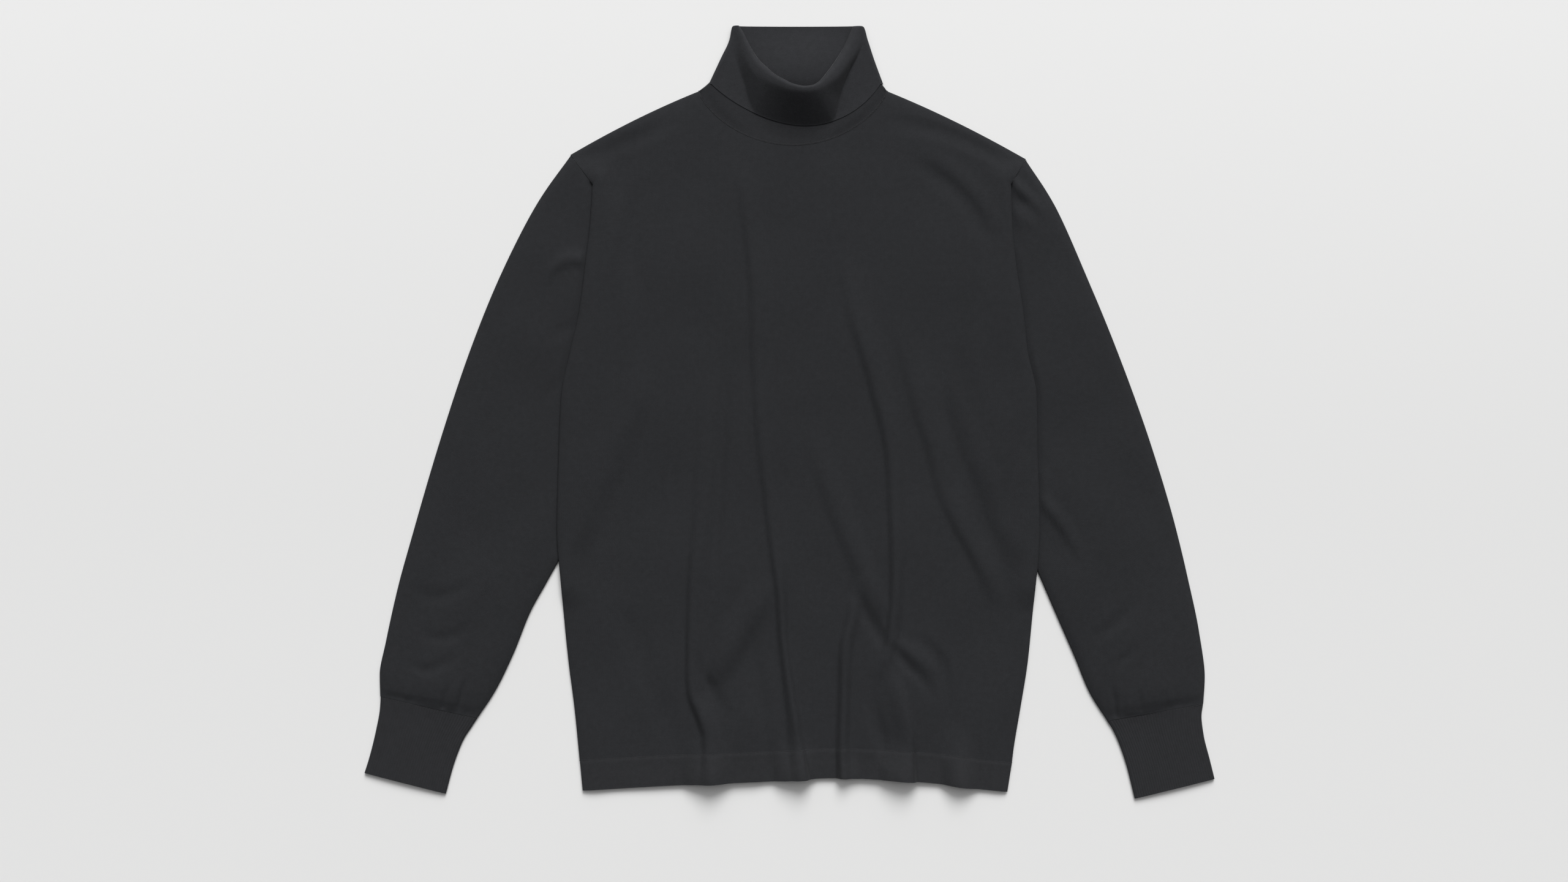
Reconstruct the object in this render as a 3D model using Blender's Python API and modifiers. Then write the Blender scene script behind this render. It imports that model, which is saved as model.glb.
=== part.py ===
"""Fine-gauge turtleneck sweater, laid flat on its back on a level surface.

Metres, +Z up. +Y runs from the hem to the collar and +X is the viewer's right, looking down on it.
The origin is under the middle of the whole sweater, on the surface it lies on.
"""

import math
from collections import namedtuple

import bpy
from mathutils import Vector

MM = 0.001

# Driving dimensions
FABRIC = 0.0012            # thickness of the knitted fabric
SEAM_GAP = 0.0004          # clearance between two pieces that are linked together
EDGE_AIR = 0.0003          # air between front and back along the side and shoulder seams
BODY_AIR = 0.0020          # air between front and back inside the body
EDGE_WIDTH = 0.014         # the front rounds over to its edges within this width
SLEEVE_RADIUS = 0.0012     # mid-fabric radius of a flattened sleeve's folded edge
TUCK_LIFT = 0.0043         # how high the body rises where a sleeve lies under it
TUCK_MARGIN = 0.015        # the lift reaches this far past the hidden edge of the sleeve
TUCK_BLEND = 0.022         # and then falls to nothing over this width
TUCK_TOP_CLEAR = 0.002     # it is still full this far above the corner of the armhole
TUCK_FADE = 0.030          # and fades out over this length there and at its foot
TUCK_FOOT = -0.175         # where the sleeve has come out from under the body
NECK_LEFT = Vector((-0.0915, 0.3228))
NECK_RIGHT = Vector((0.0985, 0.3228))
NECK_DEPTH_FRONT = 0.0543
NECK_DEPTH_BACK = 0.0060
NECK_CURVE = 0.73          # 1 is a parabola, and lower values are fuller at the sides
SHOULDER_LEFT = Vector((-0.2213, 0.2585))
SHOULDER_RIGHT = Vector((0.2387, 0.2540))
SHOULDER_BOW = 0.0030      # how far a shoulder line bows out of straight
CORNER_ALONG = 0.955       # the foot of the visible armhole seam, as a share of the side's length

# The side edges of the body, from the hem band's seam up to the shoulder points.
# tuck is how far the sleeve reaches in under the body.
Side = namedtuple("Side", "y left right tuck")
SIDES = [Side(*(value * MM for value in row)) for row in (
    (-356, -211.5, 224.3, 0),
    (-340, -213.0, 226.3, 0),
    (-300, -217.0, 233.0, 0),
    (-255, -222.8, 240.2, 0),
    (-208, -227.6, 245.0, 0),
    (-175, -230.4, 248.2, 0),
    (-152, -232.5, 250.5, 2),
    (-120, -234.4, 252.0, 17),
    (-88, -233.8, 251.5, 29),
    (-40, -232.5, 250.0, 50),
    (15, -230.0, 249.0, 66),
    (60, -221.0, 240.0, 52),
    (100, -212.0, 235.5, 40),
    (150, -205.5, 228.0, 24),
    (190, -200.8, 224.4, 12),
    (229, -198.4, 223.2, 2),
)]

# How far the hem is drawn up from a straight line between its two corners.
Rise = namedtuple("Rise", "across rise")
HEM_RISES = [Rise(*row) for row in (
    (0.00, 0.0000),
    (0.25, 0.0065),
    (0.42, 0.0097),
    (0.60, 0.0135),
    (0.72, 0.0120),
    (0.84, 0.0080),
    (0.93, 0.0030),
    (1.00, 0.0000),
)]
SEAM_ENDS = (Vector((-0.2115, -0.3534)), Vector((0.2243, -0.3560)))
HEM_ENDS = (Vector((-0.2087, -0.3838)), Vector((0.2197, -0.3850)))

# Long soft folds of the front, each along its own route, in millimetres.
Fold = namedtuple("Fold", "route height width starts ends")
FRONT_FOLDS = (
    Fold(((-44, 246), (-36, 123), (-28, -6), (-12, -169), (-4, -286), (4, -340), (16, -372)), 5.0, 17, 90, 0),
    Fold(((-103, -140), (-106, -220), (-104, -268), (-92, -310), (-87, -376)), 5.5, 16, 60, 0),
    Fold(((57, 158), (84, 42), (101, -52), (106, -112), (102, -215), (98, -262)), 4.5, 16, 70, 50),
    Fold(((110, 100), (132, -10), (172, -116), (203, -184)), 3.5, 18, 50, 40),
    Fold(((16, -28), (62, -122), (92, -210)), 3.0, 16, 40, 30),
    Fold(((60, -198), (56, -270), (54, -340), (53, -371)), 6.5, 15, 50, 0),
    Fold(((108, -290), (124, -310), (128, -350), (128, -374)), 5.0, 15, 40, 0),
    Fold(((172, -330), (172, -380)), 3.5, 15, 35, 0),
)

# Sleeve sections, from the armhole to the cuff, between the outer edge and the inner edge.
# puff is how far the upper layer stands up from the lower one.
Section = namedtuple("Section", "outer_x outer_y inner_x inner_y puff")
RingPoint = namedtuple("RingPoint", "across past height upper")
SLEEVE_LEFT = [Section(*(value * MM for value in row)) for row in (
    (-221.3, 258.5, -165, 15, 0.0),
    (-254, 212, -172, -10, 0.8),
    (-292, 138, -186, -45, 1.0),
    (-323.5, 60, -206, -88, 1.2),
    (-355, -35, -226, -137, 1.6),
    (-380.5, -122, -246, -174, 2.2),
    (-396.5, -180, -262, -203, 2.6),
    (-408, -232, -279, -245, 3.4),
    (-414.5, -266, -297, -282, 4.0),
    (-414, -288.4, -315.6, -310.4, 1.2),
)]
SLEEVE_RIGHT = [Section(*(value * MM for value in row)) for row in (
    (238.7, 254, 183, 10, 0.0),
    (267, 210, 191, -15, 0.8),
    (302.5, 131, 206, -50, 1.0),
    (330, 64, 224, -95, 1.2),
    (363.5, -28, 243, -143, 1.6),
    (389, -112, 261, -186, 2.2),
    (403.5, -172, 274, -216, 2.6),
    (414, -222, 288, -248, 3.4),
    (420, -268, 303, -284, 4.0),
    (418.5, -296, 321, -313, 1.2),
)]
PUFF_CURVE = 0.8           # how full the upper layer is across a section
HIDDEN_ACROSS = 0.35       # under the body the upper layer lies flat inwards of this share of its width
HIDDEN_BLEND = 0.30        # and comes up again over this share
HIDDEN_ALONG = 0.55        # this holds from the armhole to this share of the sleeve's length
HIDDEN_FADE = 0.10         # and fades over this share before it
ARMHOLE_FADE = 0.35        # a sleeve's sections are straight from this far down
TIP_SHARE = 0.1            # the armhole's tip points along its first stretch, up to this share
ARMHOLE_BEND = 0.0050      # how far the hidden part of the armhole line bends in from straight

CUFF_LEFT = [Section(*(value * MM for value in row)) for row in (
    (-413.6, -289.0, -316.0, -311.1, 1.2),
    (-414.5, -302, -320.5, -318, 0.6),
    (-419, -326, -329, -331, 0.4),
    (-425, -350, -339, -356, 0.4),
    (-430, -366, -347.5, -387, 0.8),
)]
CUFF_RIGHT = [Section(*(value * MM for value in row)) for row in (
    (418.3, -296.7, 321.2, -313.7, 1.2),
    (416.8, -309, 325.5, -320, 0.6),
    (419, -328, 331, -331, 0.4),
    (425, -352, 340, -356, 0.4),
    (430, -372, 349, -392, 0.8),
)]

# Collar rings, along the fabric: up the inner layer, over the roll and down the outer layer.
# low and high are the mid-fabric heights of the back and front halves, and rise lifts the front's middle.
Ring = namedtuple("Ring", "left right side_y front_y back_y low high rise curve")
INNER_LAYER = [Ring(*row) for row in (
    (-0.0904, 0.0974, 0.3237, 0.2692, 0.3177, 0.0006, 0.0038, 0.0000, 0.73),
    (-0.0830, 0.0930, 0.3290, 0.2810, 0.3260, 0.0018, 0.0046, 0.0010, 0.80),
    (-0.0780, 0.0900, 0.3345, 0.2910, 0.3350, 0.0026, 0.0050, 0.0035, 0.90),
    (-0.0665, 0.0815, 0.3560, 0.3040, 0.3580, 0.0026, 0.0050, 0.0095, 1.00),
    (-0.0575, 0.0755, 0.3750, 0.3150, 0.3780, 0.0026, 0.0050, 0.0160, 1.08),
    (-0.0550, 0.0735, 0.3884, 0.3225, 0.3904, 0.0026, 0.0050, 0.0200, 1.15),
)]
OUTER_LAYER = [Ring(*row) for row in (
    (-0.0575, 0.0760, 0.3884, 0.3185, 0.3904, 0.0006, 0.0070, 0.0240, 1.15),
    (-0.0600, 0.0780, 0.3750, 0.3100, 0.3780, 0.0006, 0.0070, 0.0200, 1.08),
    (-0.0690, 0.0840, 0.3560, 0.3005, 0.3580, 0.0006, 0.0070, 0.0120, 1.00),
    (-0.0812, 0.0942, 0.3300, 0.2883, 0.3370, 0.0006, 0.0070, 0.0008, 0.95),
)]
ROLL_STEPS = 3             # fabric rows round the roll
RISE_CURVE = 1.4           # how narrow the lift in the middle of the collar's front is
BACK_CURVE = 0.6           # how flat the back of a collar row runs

# Grid counts
SHOULDER_CELLS = 9
NECK_CELLS_FRONT = 18
NECK_CELLS_BACK = 6
SIDE_ROWS = 14
SEAM_ROWS = 2
BAND_ROWS = 2
SLEEVE_ROWS = 16
CUFF_ROWS = 4
FLAT_CELLS = 6             # cells across each layer of a sleeve or cuff
FOLD_CELLS = 3             # cells round a folded edge
COLLAR_FRONT_CELLS = 12
COLLAR_BACK_CELLS = 5

KNIT_COLOUR = (0.027, 0.028, 0.031, 1.0)
RIB_COLOUR = (0.028, 0.029, 0.032, 1.0)
KNIT_ROUGHNESS = 0.9


def ease(share):
    share = min(max(share, 0.0), 1.0)
    return share * share * (3.0 - 2.0 * share)


def mix(a, b, share):
    return a + (b - a) * share


def smooth_curve(positions, values, at):
    """A smooth curve through the given values, which never swings past them."""
    if at <= positions[0]:
        return values[0]
    if at >= positions[-1]:
        return values[-1]
    slopes = [(values[i + 1] - values[i]) / (positions[i + 1] - positions[i]) for i in range(len(values) - 1)]
    tangents = [slopes[0]]
    for before, after in zip(slopes, slopes[1:]):
        tangents.append(0.0 if before * after <= 0 else 2 * before * after / (before + after))
    tangents.append(slopes[-1])
    i = max(k for k in range(len(positions) - 1) if positions[k] <= at)
    step = positions[i + 1] - positions[i]
    t = (at - positions[i]) / step
    start = (2 * t**3 - 3 * t**2 + 1) * values[i] + (t**3 - 2 * t**2 + t) * step * tangents[i]
    end = (-2 * t**3 + 3 * t**2) * values[i + 1] + (t**3 - t**2) * step * tangents[i + 1]
    return start + end


def column_at(rows, key, column, at):
    return smooth_curve([getattr(r, key) for r in rows], [getattr(r, column) for r in rows], at)


def along_rows(rows, column, share):
    """A column's value at a share of the way through a table whose rows are evenly spaced."""
    return smooth_curve(list(range(len(rows))), [getattr(r, column) for r in rows], share * (len(rows) - 1))


def bowl(share, curve):
    """0 at both ends, 1 in the middle."""
    return max(4.0 * share * (1.0 - share), 0.0) ** curve


def fold_height(x, y):
    """How far the front's folds lift the point."""
    place = Vector((x, y))
    lifted = 0.0
    for fold in FRONT_FOLDS:
        route = [Vector(point) * MM for point in fold.route]
        lengths = [(b - a).length for a, b in zip(route, route[1:])]
        nearest, run, gone = math.inf, 0.0, 0.0
        for a, b, length in zip(route, route[1:], lengths):
            share = min(max((place - a).dot(b - a) / length**2, 0.0), 1.0)
            away = (a.lerp(b, share) - place).length
            if away < nearest:
                nearest, run = away, gone + share * length
            gone += length
        across = max(1.0 - (nearest / (fold.width * MM)) ** 2, 0.0) ** 2
        grows = ease(run / (fold.starts * MM)) if fold.starts else 1.0
        fades = ease((gone - run) / (fold.ends * MM)) if fold.ends else 1.0
        lifted = max(lifted, fold.height * MM * across * grows * fades)
    return lifted


def side_x(column, y):
    return column_at(SIDES, "y", column, y)


def tuck_lift(x, y):
    """How far the body is raised by the sleeve that lies under its side."""
    tuck = side_x("tuck", y)
    inwards = min(x - side_x("left", y), side_x("right", y) - x)
    across = 1.0 - ease((inwards - tuck - TUCK_MARGIN) / TUCK_BLEND)
    top = 1.0 - ease((y - SIDES[-1].y - TUCK_TOP_CLEAR) / TUCK_FADE)
    foot = ease((y - TUCK_FOOT + TUCK_FADE) / TUCK_FADE)
    return TUCK_LIFT * across * top * foot


def top_edge(across, neck_depth):
    """The point of the shoulder and neck line at this share of the body's width, left to right."""
    width = SHOULDER_RIGHT.x - SHOULDER_LEFT.x
    x = SHOULDER_LEFT.x + width * across
    if x < NECK_LEFT.x:
        share = (x - SHOULDER_LEFT.x) / (NECK_LEFT.x - SHOULDER_LEFT.x)
        return Vector((x, mix(SHOULDER_LEFT.y, NECK_LEFT.y, share) + SHOULDER_BOW * bowl(share, 1)))
    if x > NECK_RIGHT.x:
        share = (x - NECK_RIGHT.x) / (SHOULDER_RIGHT.x - NECK_RIGHT.x)
        return Vector((x, mix(NECK_RIGHT.y, SHOULDER_RIGHT.y, share) + SHOULDER_BOW * bowl(share, 1)))
    share = (x - NECK_LEFT.x) / (NECK_RIGHT.x - NECK_LEFT.x)
    return Vector((x, mix(NECK_LEFT.y, NECK_RIGHT.y, share) - neck_depth * bowl(share, NECK_CURVE)))


def hem_line(ends, across):
    point = ends[0].lerp(ends[1], across)
    return Vector((point.x, point.y + column_at(HEM_RISES, "across", "rise", across)))


def side_point(side, along):
    """A side edge of the body, left or right, from the hem band's seam to the shoulder point."""
    shoulder = {"left": SHOULDER_LEFT, "right": SHOULDER_RIGHT}[side]
    seam_end = {"left": SEAM_ENDS[0], "right": SEAM_ENDS[1]}[side]
    corner_y = SIDES[-1].y
    if along > CORNER_ALONG:
        share = (along - CORNER_ALONG) / (1.0 - CORNER_ALONG)
        return Vector((side_x(side, corner_y), corner_y)).lerp(shoulder, share)
    y = mix(seam_end.y, corner_y, along / CORNER_ALONG)
    return Vector((side_x(side, y), y))


def body_point(across, along, neck_depth):
    """A point of the body in plan: across runs left to right, along from the hem band's seam up."""
    left = side_point("left", along)
    right = side_point("right", along)
    foot = hem_line(SEAM_ENDS, across)
    top = top_edge(across, neck_depth)
    straight_top = mix(SHOULDER_LEFT.y, SHOULDER_RIGHT.y, across)
    straight_foot = mix(SEAM_ENDS[0].y, SEAM_ENDS[1].y, across)
    y = mix(left.y, right.y, across)
    y += (top.y - straight_top) * along + (foot.y - straight_foot) * (1.0 - along)
    return Vector((mix(left.x, right.x, across), y))


def neck_columns(neck_cells):
    """Shares of the body's width for the grid's columns, with one at each end of the neckline."""
    width = SHOULDER_RIGHT.x - SHOULDER_LEFT.x
    neck_start = (NECK_LEFT.x - SHOULDER_LEFT.x) / width
    neck_end = (NECK_RIGHT.x - SHOULDER_LEFT.x) / width
    columns = [neck_start * i / SHOULDER_CELLS for i in range(SHOULDER_CELLS)]
    columns += [mix(neck_start, neck_end, i / neck_cells) for i in range(neck_cells)]
    columns += [mix(neck_end, 1.0, i / SHOULDER_CELLS) for i in range(SHOULDER_CELLS + 1)]
    return columns


def front_height(x, y, edge_distance):
    rounding = math.sqrt(1.0 - max(1.0 - edge_distance / EDGE_WIDTH, 0.0) ** 2)
    return 1.5 * FABRIC + mix(EDGE_AIR, BODY_AIR, rounding) + tuck_lift(x, y) + fold_height(x, y) * rounding


def mesh_object(name, points, faces, colour):
    """An open surface of fabric, given its thickness."""
    mesh = bpy.data.meshes.new(name)
    mesh.from_pydata([tuple(p) for p in points], [], faces)
    mesh.shade_smooth()
    obj = bpy.data.objects.new(name, mesh)
    sweater.objects.link(obj)
    thickness = obj.modifiers.new("fabric", "SOLIDIFY")
    thickness.thickness = FABRIC
    thickness.offset = 0.0
    finish = bpy.data.materials.new(name + "_yarn")
    finish.use_nodes = True
    shader = finish.node_tree.nodes["Principled BSDF"]
    shader.inputs["Base Color"].default_value = colour
    shader.inputs["Roughness"].default_value = KNIT_ROUGHNESS
    shader.inputs["Metallic"].default_value = 0.0
    mesh.materials.append(finish)
    return obj


def grid_faces(rows, columns, closed=False):
    """Quads of a grid whose points run row by row, facing up when rows run up and columns to the right."""
    faces = []
    for r in range(rows - 1):
        for c in range(columns if closed else columns - 1):
            after = (c + 1) % columns
            lower, upper = r * columns, (r + 1) * columns
            faces.append((lower + c, lower + after, upper + after, upper + c))
    return faces


def side_rows():
    rows = [CORNER_ALONG * i / SIDE_ROWS for i in range(SIDE_ROWS)]
    return rows + [mix(CORNER_ALONG, 1.0, i / SEAM_ROWS) for i in range(SEAM_ROWS + 1)]


def body_panel(name, neck_cells, neck_depth, is_front):
    columns = neck_columns(neck_cells)
    rows = side_rows()
    points = []
    for along in rows:
        for across in columns:
            plan = body_point(across, along, neck_depth)
            if is_front:
                width = side_point("right", along).x - side_point("left", along).x
                edge_distance = min(across, 1.0 - across) * width
                at_neckline = columns[SHOULDER_CELLS] < across < columns[-SHOULDER_CELLS - 1]
                if not at_neckline:
                    to_shoulder = (1.0 - along) * (SHOULDER_LEFT.y - SEAM_ENDS[0].y)
                    edge_distance = min(edge_distance, to_shoulder)
                height = front_height(plan.x, plan.y, edge_distance)
            else:
                height = 0.5 * FABRIC + tuck_lift(plan.x, plan.y)
            points.append(Vector((plan.x, plan.y, height)))
    return mesh_object(name, points, grid_faces(len(rows), len(columns)), KNIT_COLOUR)


def hem_band(name, neck_cells, is_front):
    """One half of the hem band, below its seam."""
    columns = neck_columns(neck_cells)
    points = []
    for r in range(BAND_ROWS + 1):
        down = r / BAND_ROWS
        for across in columns:
            seam = hem_line(SEAM_ENDS, across) - Vector((0.0, SEAM_GAP))
            plan = seam.lerp(hem_line(HEM_ENDS, across), down)
            height = 0.5 * FABRIC
            if is_front:
                width = SEAM_ENDS[1].x - SEAM_ENDS[0].x
                height = front_height(plan.x, plan.y, min(across, 1.0 - across) * width)
            points.append(Vector((plan.x, plan.y, height)))
    faces = [tuple(reversed(face)) for face in grid_faces(BAND_ROWS + 1, len(columns))]
    return mesh_object(name, points, faces, RIB_COLOUR)


def flat_ring(radius):
    """A flattened tube's section, once round from its outer edge: past is how far a fold stands out."""
    shares = [i / FLAT_CELLS for i in range(FLAT_CELLS + 1)]
    angles = [math.pi * i / FOLD_CELLS for i in range(1, FOLD_CELLS)]
    upper = [RingPoint(share, 0.0, 2 * radius, True) for share in shares]
    lower = [RingPoint(1.0 - share, 0.0, 0.0, False) for share in shares]
    inner_fold = []
    outer_fold = []
    for angle in angles:
        past = radius * math.sin(angle)
        inner_fold.append(RingPoint(1.0, past, radius * (1.0 + math.cos(angle)), False))
        outer_fold.append(RingPoint(0.0, -past, radius * (1.0 - math.cos(angle)), False))
    return upper + inner_fold + lower + outer_fold


def armhole_point(first, share):
    """The seam where a sleeve's first section meets the body, from the shoulder point to the underarm."""
    shoulder = Vector((first.outer_x, first.outer_y))
    corner = side_point("left" if first.outer_x < 0 else "right", CORNER_ALONG)
    underarm = Vector((first.inner_x, first.inner_y))
    away = (shoulder - corner).orthogonal().normalized()
    if away.x * first.outer_x < 0:
        away = -away
    corner_share = 1.0 / FLAT_CELLS
    if share <= corner_share:
        edge = (SLEEVE_RADIUS + 0.5 * FABRIC) / (corner - shoulder).length
        return shoulder.lerp(corner, mix(edge, 1.0, share / corner_share)) + away * SEAM_GAP
    hidden = (share - corner_share) / (1.0 - corner_share)
    bend = (underarm - corner).orthogonal().normalized()
    if bend.x * first.outer_x > 0:
        bend = -bend
    return corner.lerp(underarm, hidden) + bend * ARMHOLE_BEND * bowl(hidden, 1) + away * SEAM_GAP


def tube(name, table, rows, colour, at_armhole=False):
    """A flattened tube from its table of sections: a sleeve or a cuff."""
    ring = flat_ring(SLEEVE_RADIUS)
    points = []
    first = table[0]
    tip_way = (armhole_point(first, TIP_SHARE) - armhole_point(first, 0.0)).normalized()
    for r in range(rows + 1):
        share = r / rows
        outer = Vector((along_rows(table, "outer_x", share), along_rows(table, "outer_y", share)))
        inner = Vector((along_rows(table, "inner_x", share), along_rows(table, "inner_y", share)))
        puff = along_rows(table, "puff", share)
        edge = (inner - outer).normalized()
        outer += edge * (SLEEVE_RADIUS + 0.5 * FABRIC)
        inner -= edge * (SLEEVE_RADIUS + 0.5 * FABRIC)
        if r == 0:
            first_outer, first_inner = outer.copy(), inner.copy()
        bend = (1.0 - ease(share / ARMHOLE_FADE)) if at_armhole else 0.0
        for across, past, height, upper in ring:
            at_tip = at_armhole and r == 0 and across == 0.0
            plan = outer.lerp(inner, across) + (tip_way if at_tip else edge) * past
            if at_armhole:
                plan += (armhole_point(first, across) - first_outer.lerp(first_inner, across)) * bend
            if upper:
                hidden = ease((across - HIDDEN_ACROSS) / HIDDEN_BLEND)
                hidden *= ease((HIDDEN_ALONG - share) / HIDDEN_FADE)
                height += puff * bowl(across, PUFF_CURVE) * (1.0 - hidden)
            points.append(Vector((plan.x, plan.y, 0.5 * FABRIC + height)))
    faces = grid_faces(rows + 1, len(ring), closed=True)
    if first.outer_x < 0:
        faces = [tuple(reversed(face)) for face in faces]
    return mesh_object(name, points, faces, colour)


def collar_ring(ring):
    """The points of one fabric row round the collar, from the right-hand edge over the front."""
    radius = 0.5 * (ring.high - ring.low)
    middle = 0.5 * (ring.high + ring.low)
    points = []
    for i in range(COLLAR_FRONT_CELLS + 1):
        share = i / COLLAR_FRONT_CELLS
        x = mix(ring.right - radius, ring.left + radius, share)
        y = mix(ring.side_y, ring.front_y, bowl(share, ring.curve))
        points.append(Vector((x, y, ring.high + ring.rise * bowl(share, RISE_CURVE))))
    for i in range(1, FOLD_CELLS):
        angle = math.pi * i / FOLD_CELLS
        points.append(Vector((ring.left + radius * (1.0 - math.sin(angle)), ring.side_y,
                              middle + radius * math.cos(angle))))
    for i in range(COLLAR_BACK_CELLS + 1):
        share = i / COLLAR_BACK_CELLS
        x = mix(ring.left + radius, ring.right - radius, share)
        y = mix(ring.side_y, ring.back_y, bowl(share, BACK_CURVE))
        points.append(Vector((x, y, ring.low)))
    for i in range(1, FOLD_CELLS):
        angle = math.pi * i / FOLD_CELLS
        points.append(Vector((ring.right - radius * (1.0 - math.sin(angle)), ring.side_y,
                              middle - radius * math.cos(angle))))
    return points


def collar():
    """The turtleneck: one fabric tube, rolled over at its top."""
    inner = [collar_ring(ring) for ring in INNER_LAYER]
    outer = [collar_ring(ring) for ring in OUTER_LAYER]
    roll = [[] for _ in range(ROLL_STEPS)]
    for before, low, high in zip(inner[-2], inner[-1], outer[0]):
        middle = (low + high) / 2
        spread = (high - low) / 2
        onwards = low - before
        onwards -= spread * (onwards.dot(spread) / spread.length_squared)
        onwards = onwards.normalized() * spread.length
        for step in range(ROLL_STEPS):
            angle = math.pi * (step + 1) / (ROLL_STEPS + 1)
            roll[step].append(middle - spread * math.cos(angle) + onwards * math.sin(angle))
    rows = inner + roll + outer
    faces = grid_faces(len(rows), len(rows[0]), closed=True)
    return mesh_object("collar", [point for row in rows for point in row], faces, KNIT_COLOUR)


for existing in list(bpy.data.objects):
    bpy.data.objects.remove(existing, do_unlink=True)

sweater = bpy.data.collections.new("turtleneck_sweater")
bpy.context.scene.collection.children.link(sweater)

body_panel("back", NECK_CELLS_BACK, NECK_DEPTH_BACK, False)
body_panel("front", NECK_CELLS_FRONT, NECK_DEPTH_FRONT, True)
hem_band("hem_band_back", NECK_CELLS_BACK, False)
hem_band("hem_band_front", NECK_CELLS_FRONT, True)
tube("sleeve_left", SLEEVE_LEFT, SLEEVE_ROWS, KNIT_COLOUR, at_armhole=True)
tube("sleeve_right", SLEEVE_RIGHT, SLEEVE_ROWS, KNIT_COLOUR, at_armhole=True)
tube("cuff_left", CUFF_LEFT, CUFF_ROWS, RIB_COLOUR)
tube("cuff_right", CUFF_RIGHT, CUFF_ROWS, RIB_COLOUR)
collar()
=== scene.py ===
import math

import bpy
import numpy as np
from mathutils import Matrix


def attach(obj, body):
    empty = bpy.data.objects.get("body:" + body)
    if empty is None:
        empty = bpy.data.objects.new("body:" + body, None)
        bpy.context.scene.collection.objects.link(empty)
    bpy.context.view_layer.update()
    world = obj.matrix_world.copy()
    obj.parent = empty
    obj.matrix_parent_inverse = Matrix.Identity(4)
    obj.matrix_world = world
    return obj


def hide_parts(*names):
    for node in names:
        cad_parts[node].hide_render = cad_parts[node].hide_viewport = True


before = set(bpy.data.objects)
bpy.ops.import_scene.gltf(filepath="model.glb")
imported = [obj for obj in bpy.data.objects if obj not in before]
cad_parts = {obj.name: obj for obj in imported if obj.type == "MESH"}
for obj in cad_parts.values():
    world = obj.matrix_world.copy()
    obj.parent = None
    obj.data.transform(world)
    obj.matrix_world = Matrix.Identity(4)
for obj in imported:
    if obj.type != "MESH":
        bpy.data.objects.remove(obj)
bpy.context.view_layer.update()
print("frame loaded")

mm = 0.001
fabric = 0.0012
seamGap = 0.0004
linkGap = 0.0001
sleeveRadius = 0.0012
luck = np.random.default_rng(41)


# Curves and small helpers


def ease(value):
    share = np.clip(value, 0.0, 1.0)
    return share * share * (3.0 - 2.0 * share)


def mix(a, b, share):
    return a + (b - a) * share


def smoothCurve(positions, values, at):
    positions = np.asarray(positions, float)
    values = np.asarray(values, float)
    at = np.clip(at, positions[0], positions[-1])
    steps = np.diff(positions)
    slopes = np.diff(values) / steps
    tangents = np.zeros(len(values))
    tangents[0], tangents[-1] = slopes[0], slopes[-1]
    same = slopes[:-1] * slopes[1:] > 0
    total = np.where(same, slopes[:-1] + slopes[1:], 1.0)
    tangents[1:-1] = np.where(same, 2 * slopes[:-1] * slopes[1:] / total, 0.0)
    i = np.clip(np.searchsorted(positions, at, side="right") - 1, 0, len(values) - 2)
    step = steps[i]
    t = (at - positions[i]) / step
    start = (2 * t**3 - 3 * t**2 + 1) * values[i] + (t**3 - 2 * t**2 + t) * step * tangents[i]
    end = (-2 * t**3 + 3 * t**2) * values[i + 1] + (t**3 - t**2) * step * tangents[i + 1]
    return start + end


def alongTable(table, column, share):
    return smoothCurve(np.arange(len(table)), table[:, column], share * (len(table) - 1))


def bowl(share, curve):
    return np.maximum(4.0 * share * (1.0 - share), 0.0) ** curve


def bordered(shares, gap):
    # the same shares with one more close to each end, which keeps the shading of a rim to the rim
    return np.concatenate([shares[:1], [shares[0] + gap], shares[1:-1], [shares[-1] - gap], shares[-1:]])


def rounding(distance, width):
    return np.sqrt(1.0 - np.clip(1.0 - distance / width, 0.0, 1.0) ** 2)


# The body's plan: its sides, its hem and its shoulder and neck line. Each row of sides: y, x of the side
# on the viewer's left, x of the one on the right, and how far in a sleeve reaches under it

onLeft, onRight, reachesUnder = 1, 2, 3
sides = mm * np.array([
    (-356, -211.5, 224.3, 0),
    (-340, -213.0, 226.3, 0),
    (-300, -217.0, 233.0, 0),
    (-255, -222.8, 240.2, 0),
    (-208, -227.6, 245.0, 0),
    (-175, -230.4, 248.2, 0),
    (-152, -232.5, 250.5, 2),
    (-120, -234.4, 252.0, 17),
    (-88, -233.8, 251.5, 29),
    (-40, -232.5, 250.0, 50),
    (15, -230.0, 249.0, 66),
    (60, -221.0, 240.0, 52),
    (100, -212.0, 235.5, 40),
    (150, -205.5, 228.0, 24),
    (190, -200.8, 224.4, 12),
    (229, -198.4, 223.2, 2),
])
hemAcross = (0.00, 0.25, 0.42, 0.60, 0.72, 0.84, 0.93, 1.00)
hemRise = (0.0000, 0.0065, 0.0097, 0.0135, 0.0120, 0.0080, 0.0030, 0.0000)
seamEnds = np.array([(-0.2115, -0.3534), (0.2243, -0.3560)])
hemEnds = np.array([(-0.2087, -0.3838), (0.2197, -0.3850)])
neckLeft = np.array((-0.0915, 0.3228))
neckRight = np.array((0.0985, 0.3228))
neckDepthFront = 0.0543
neckDepthBack = 0.0060
neckCurve = 0.73
shoulderLeft = np.array((-0.2213, 0.2585))
shoulderRight = np.array((0.2387, 0.2540))
shoulderBow = 0.0030
cornerAlong = 0.955
cornerY = sides[-1, 0]


def sideX(column, y):
    return smoothCurve(sides[:, 0], sides[:, column], y)


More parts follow.
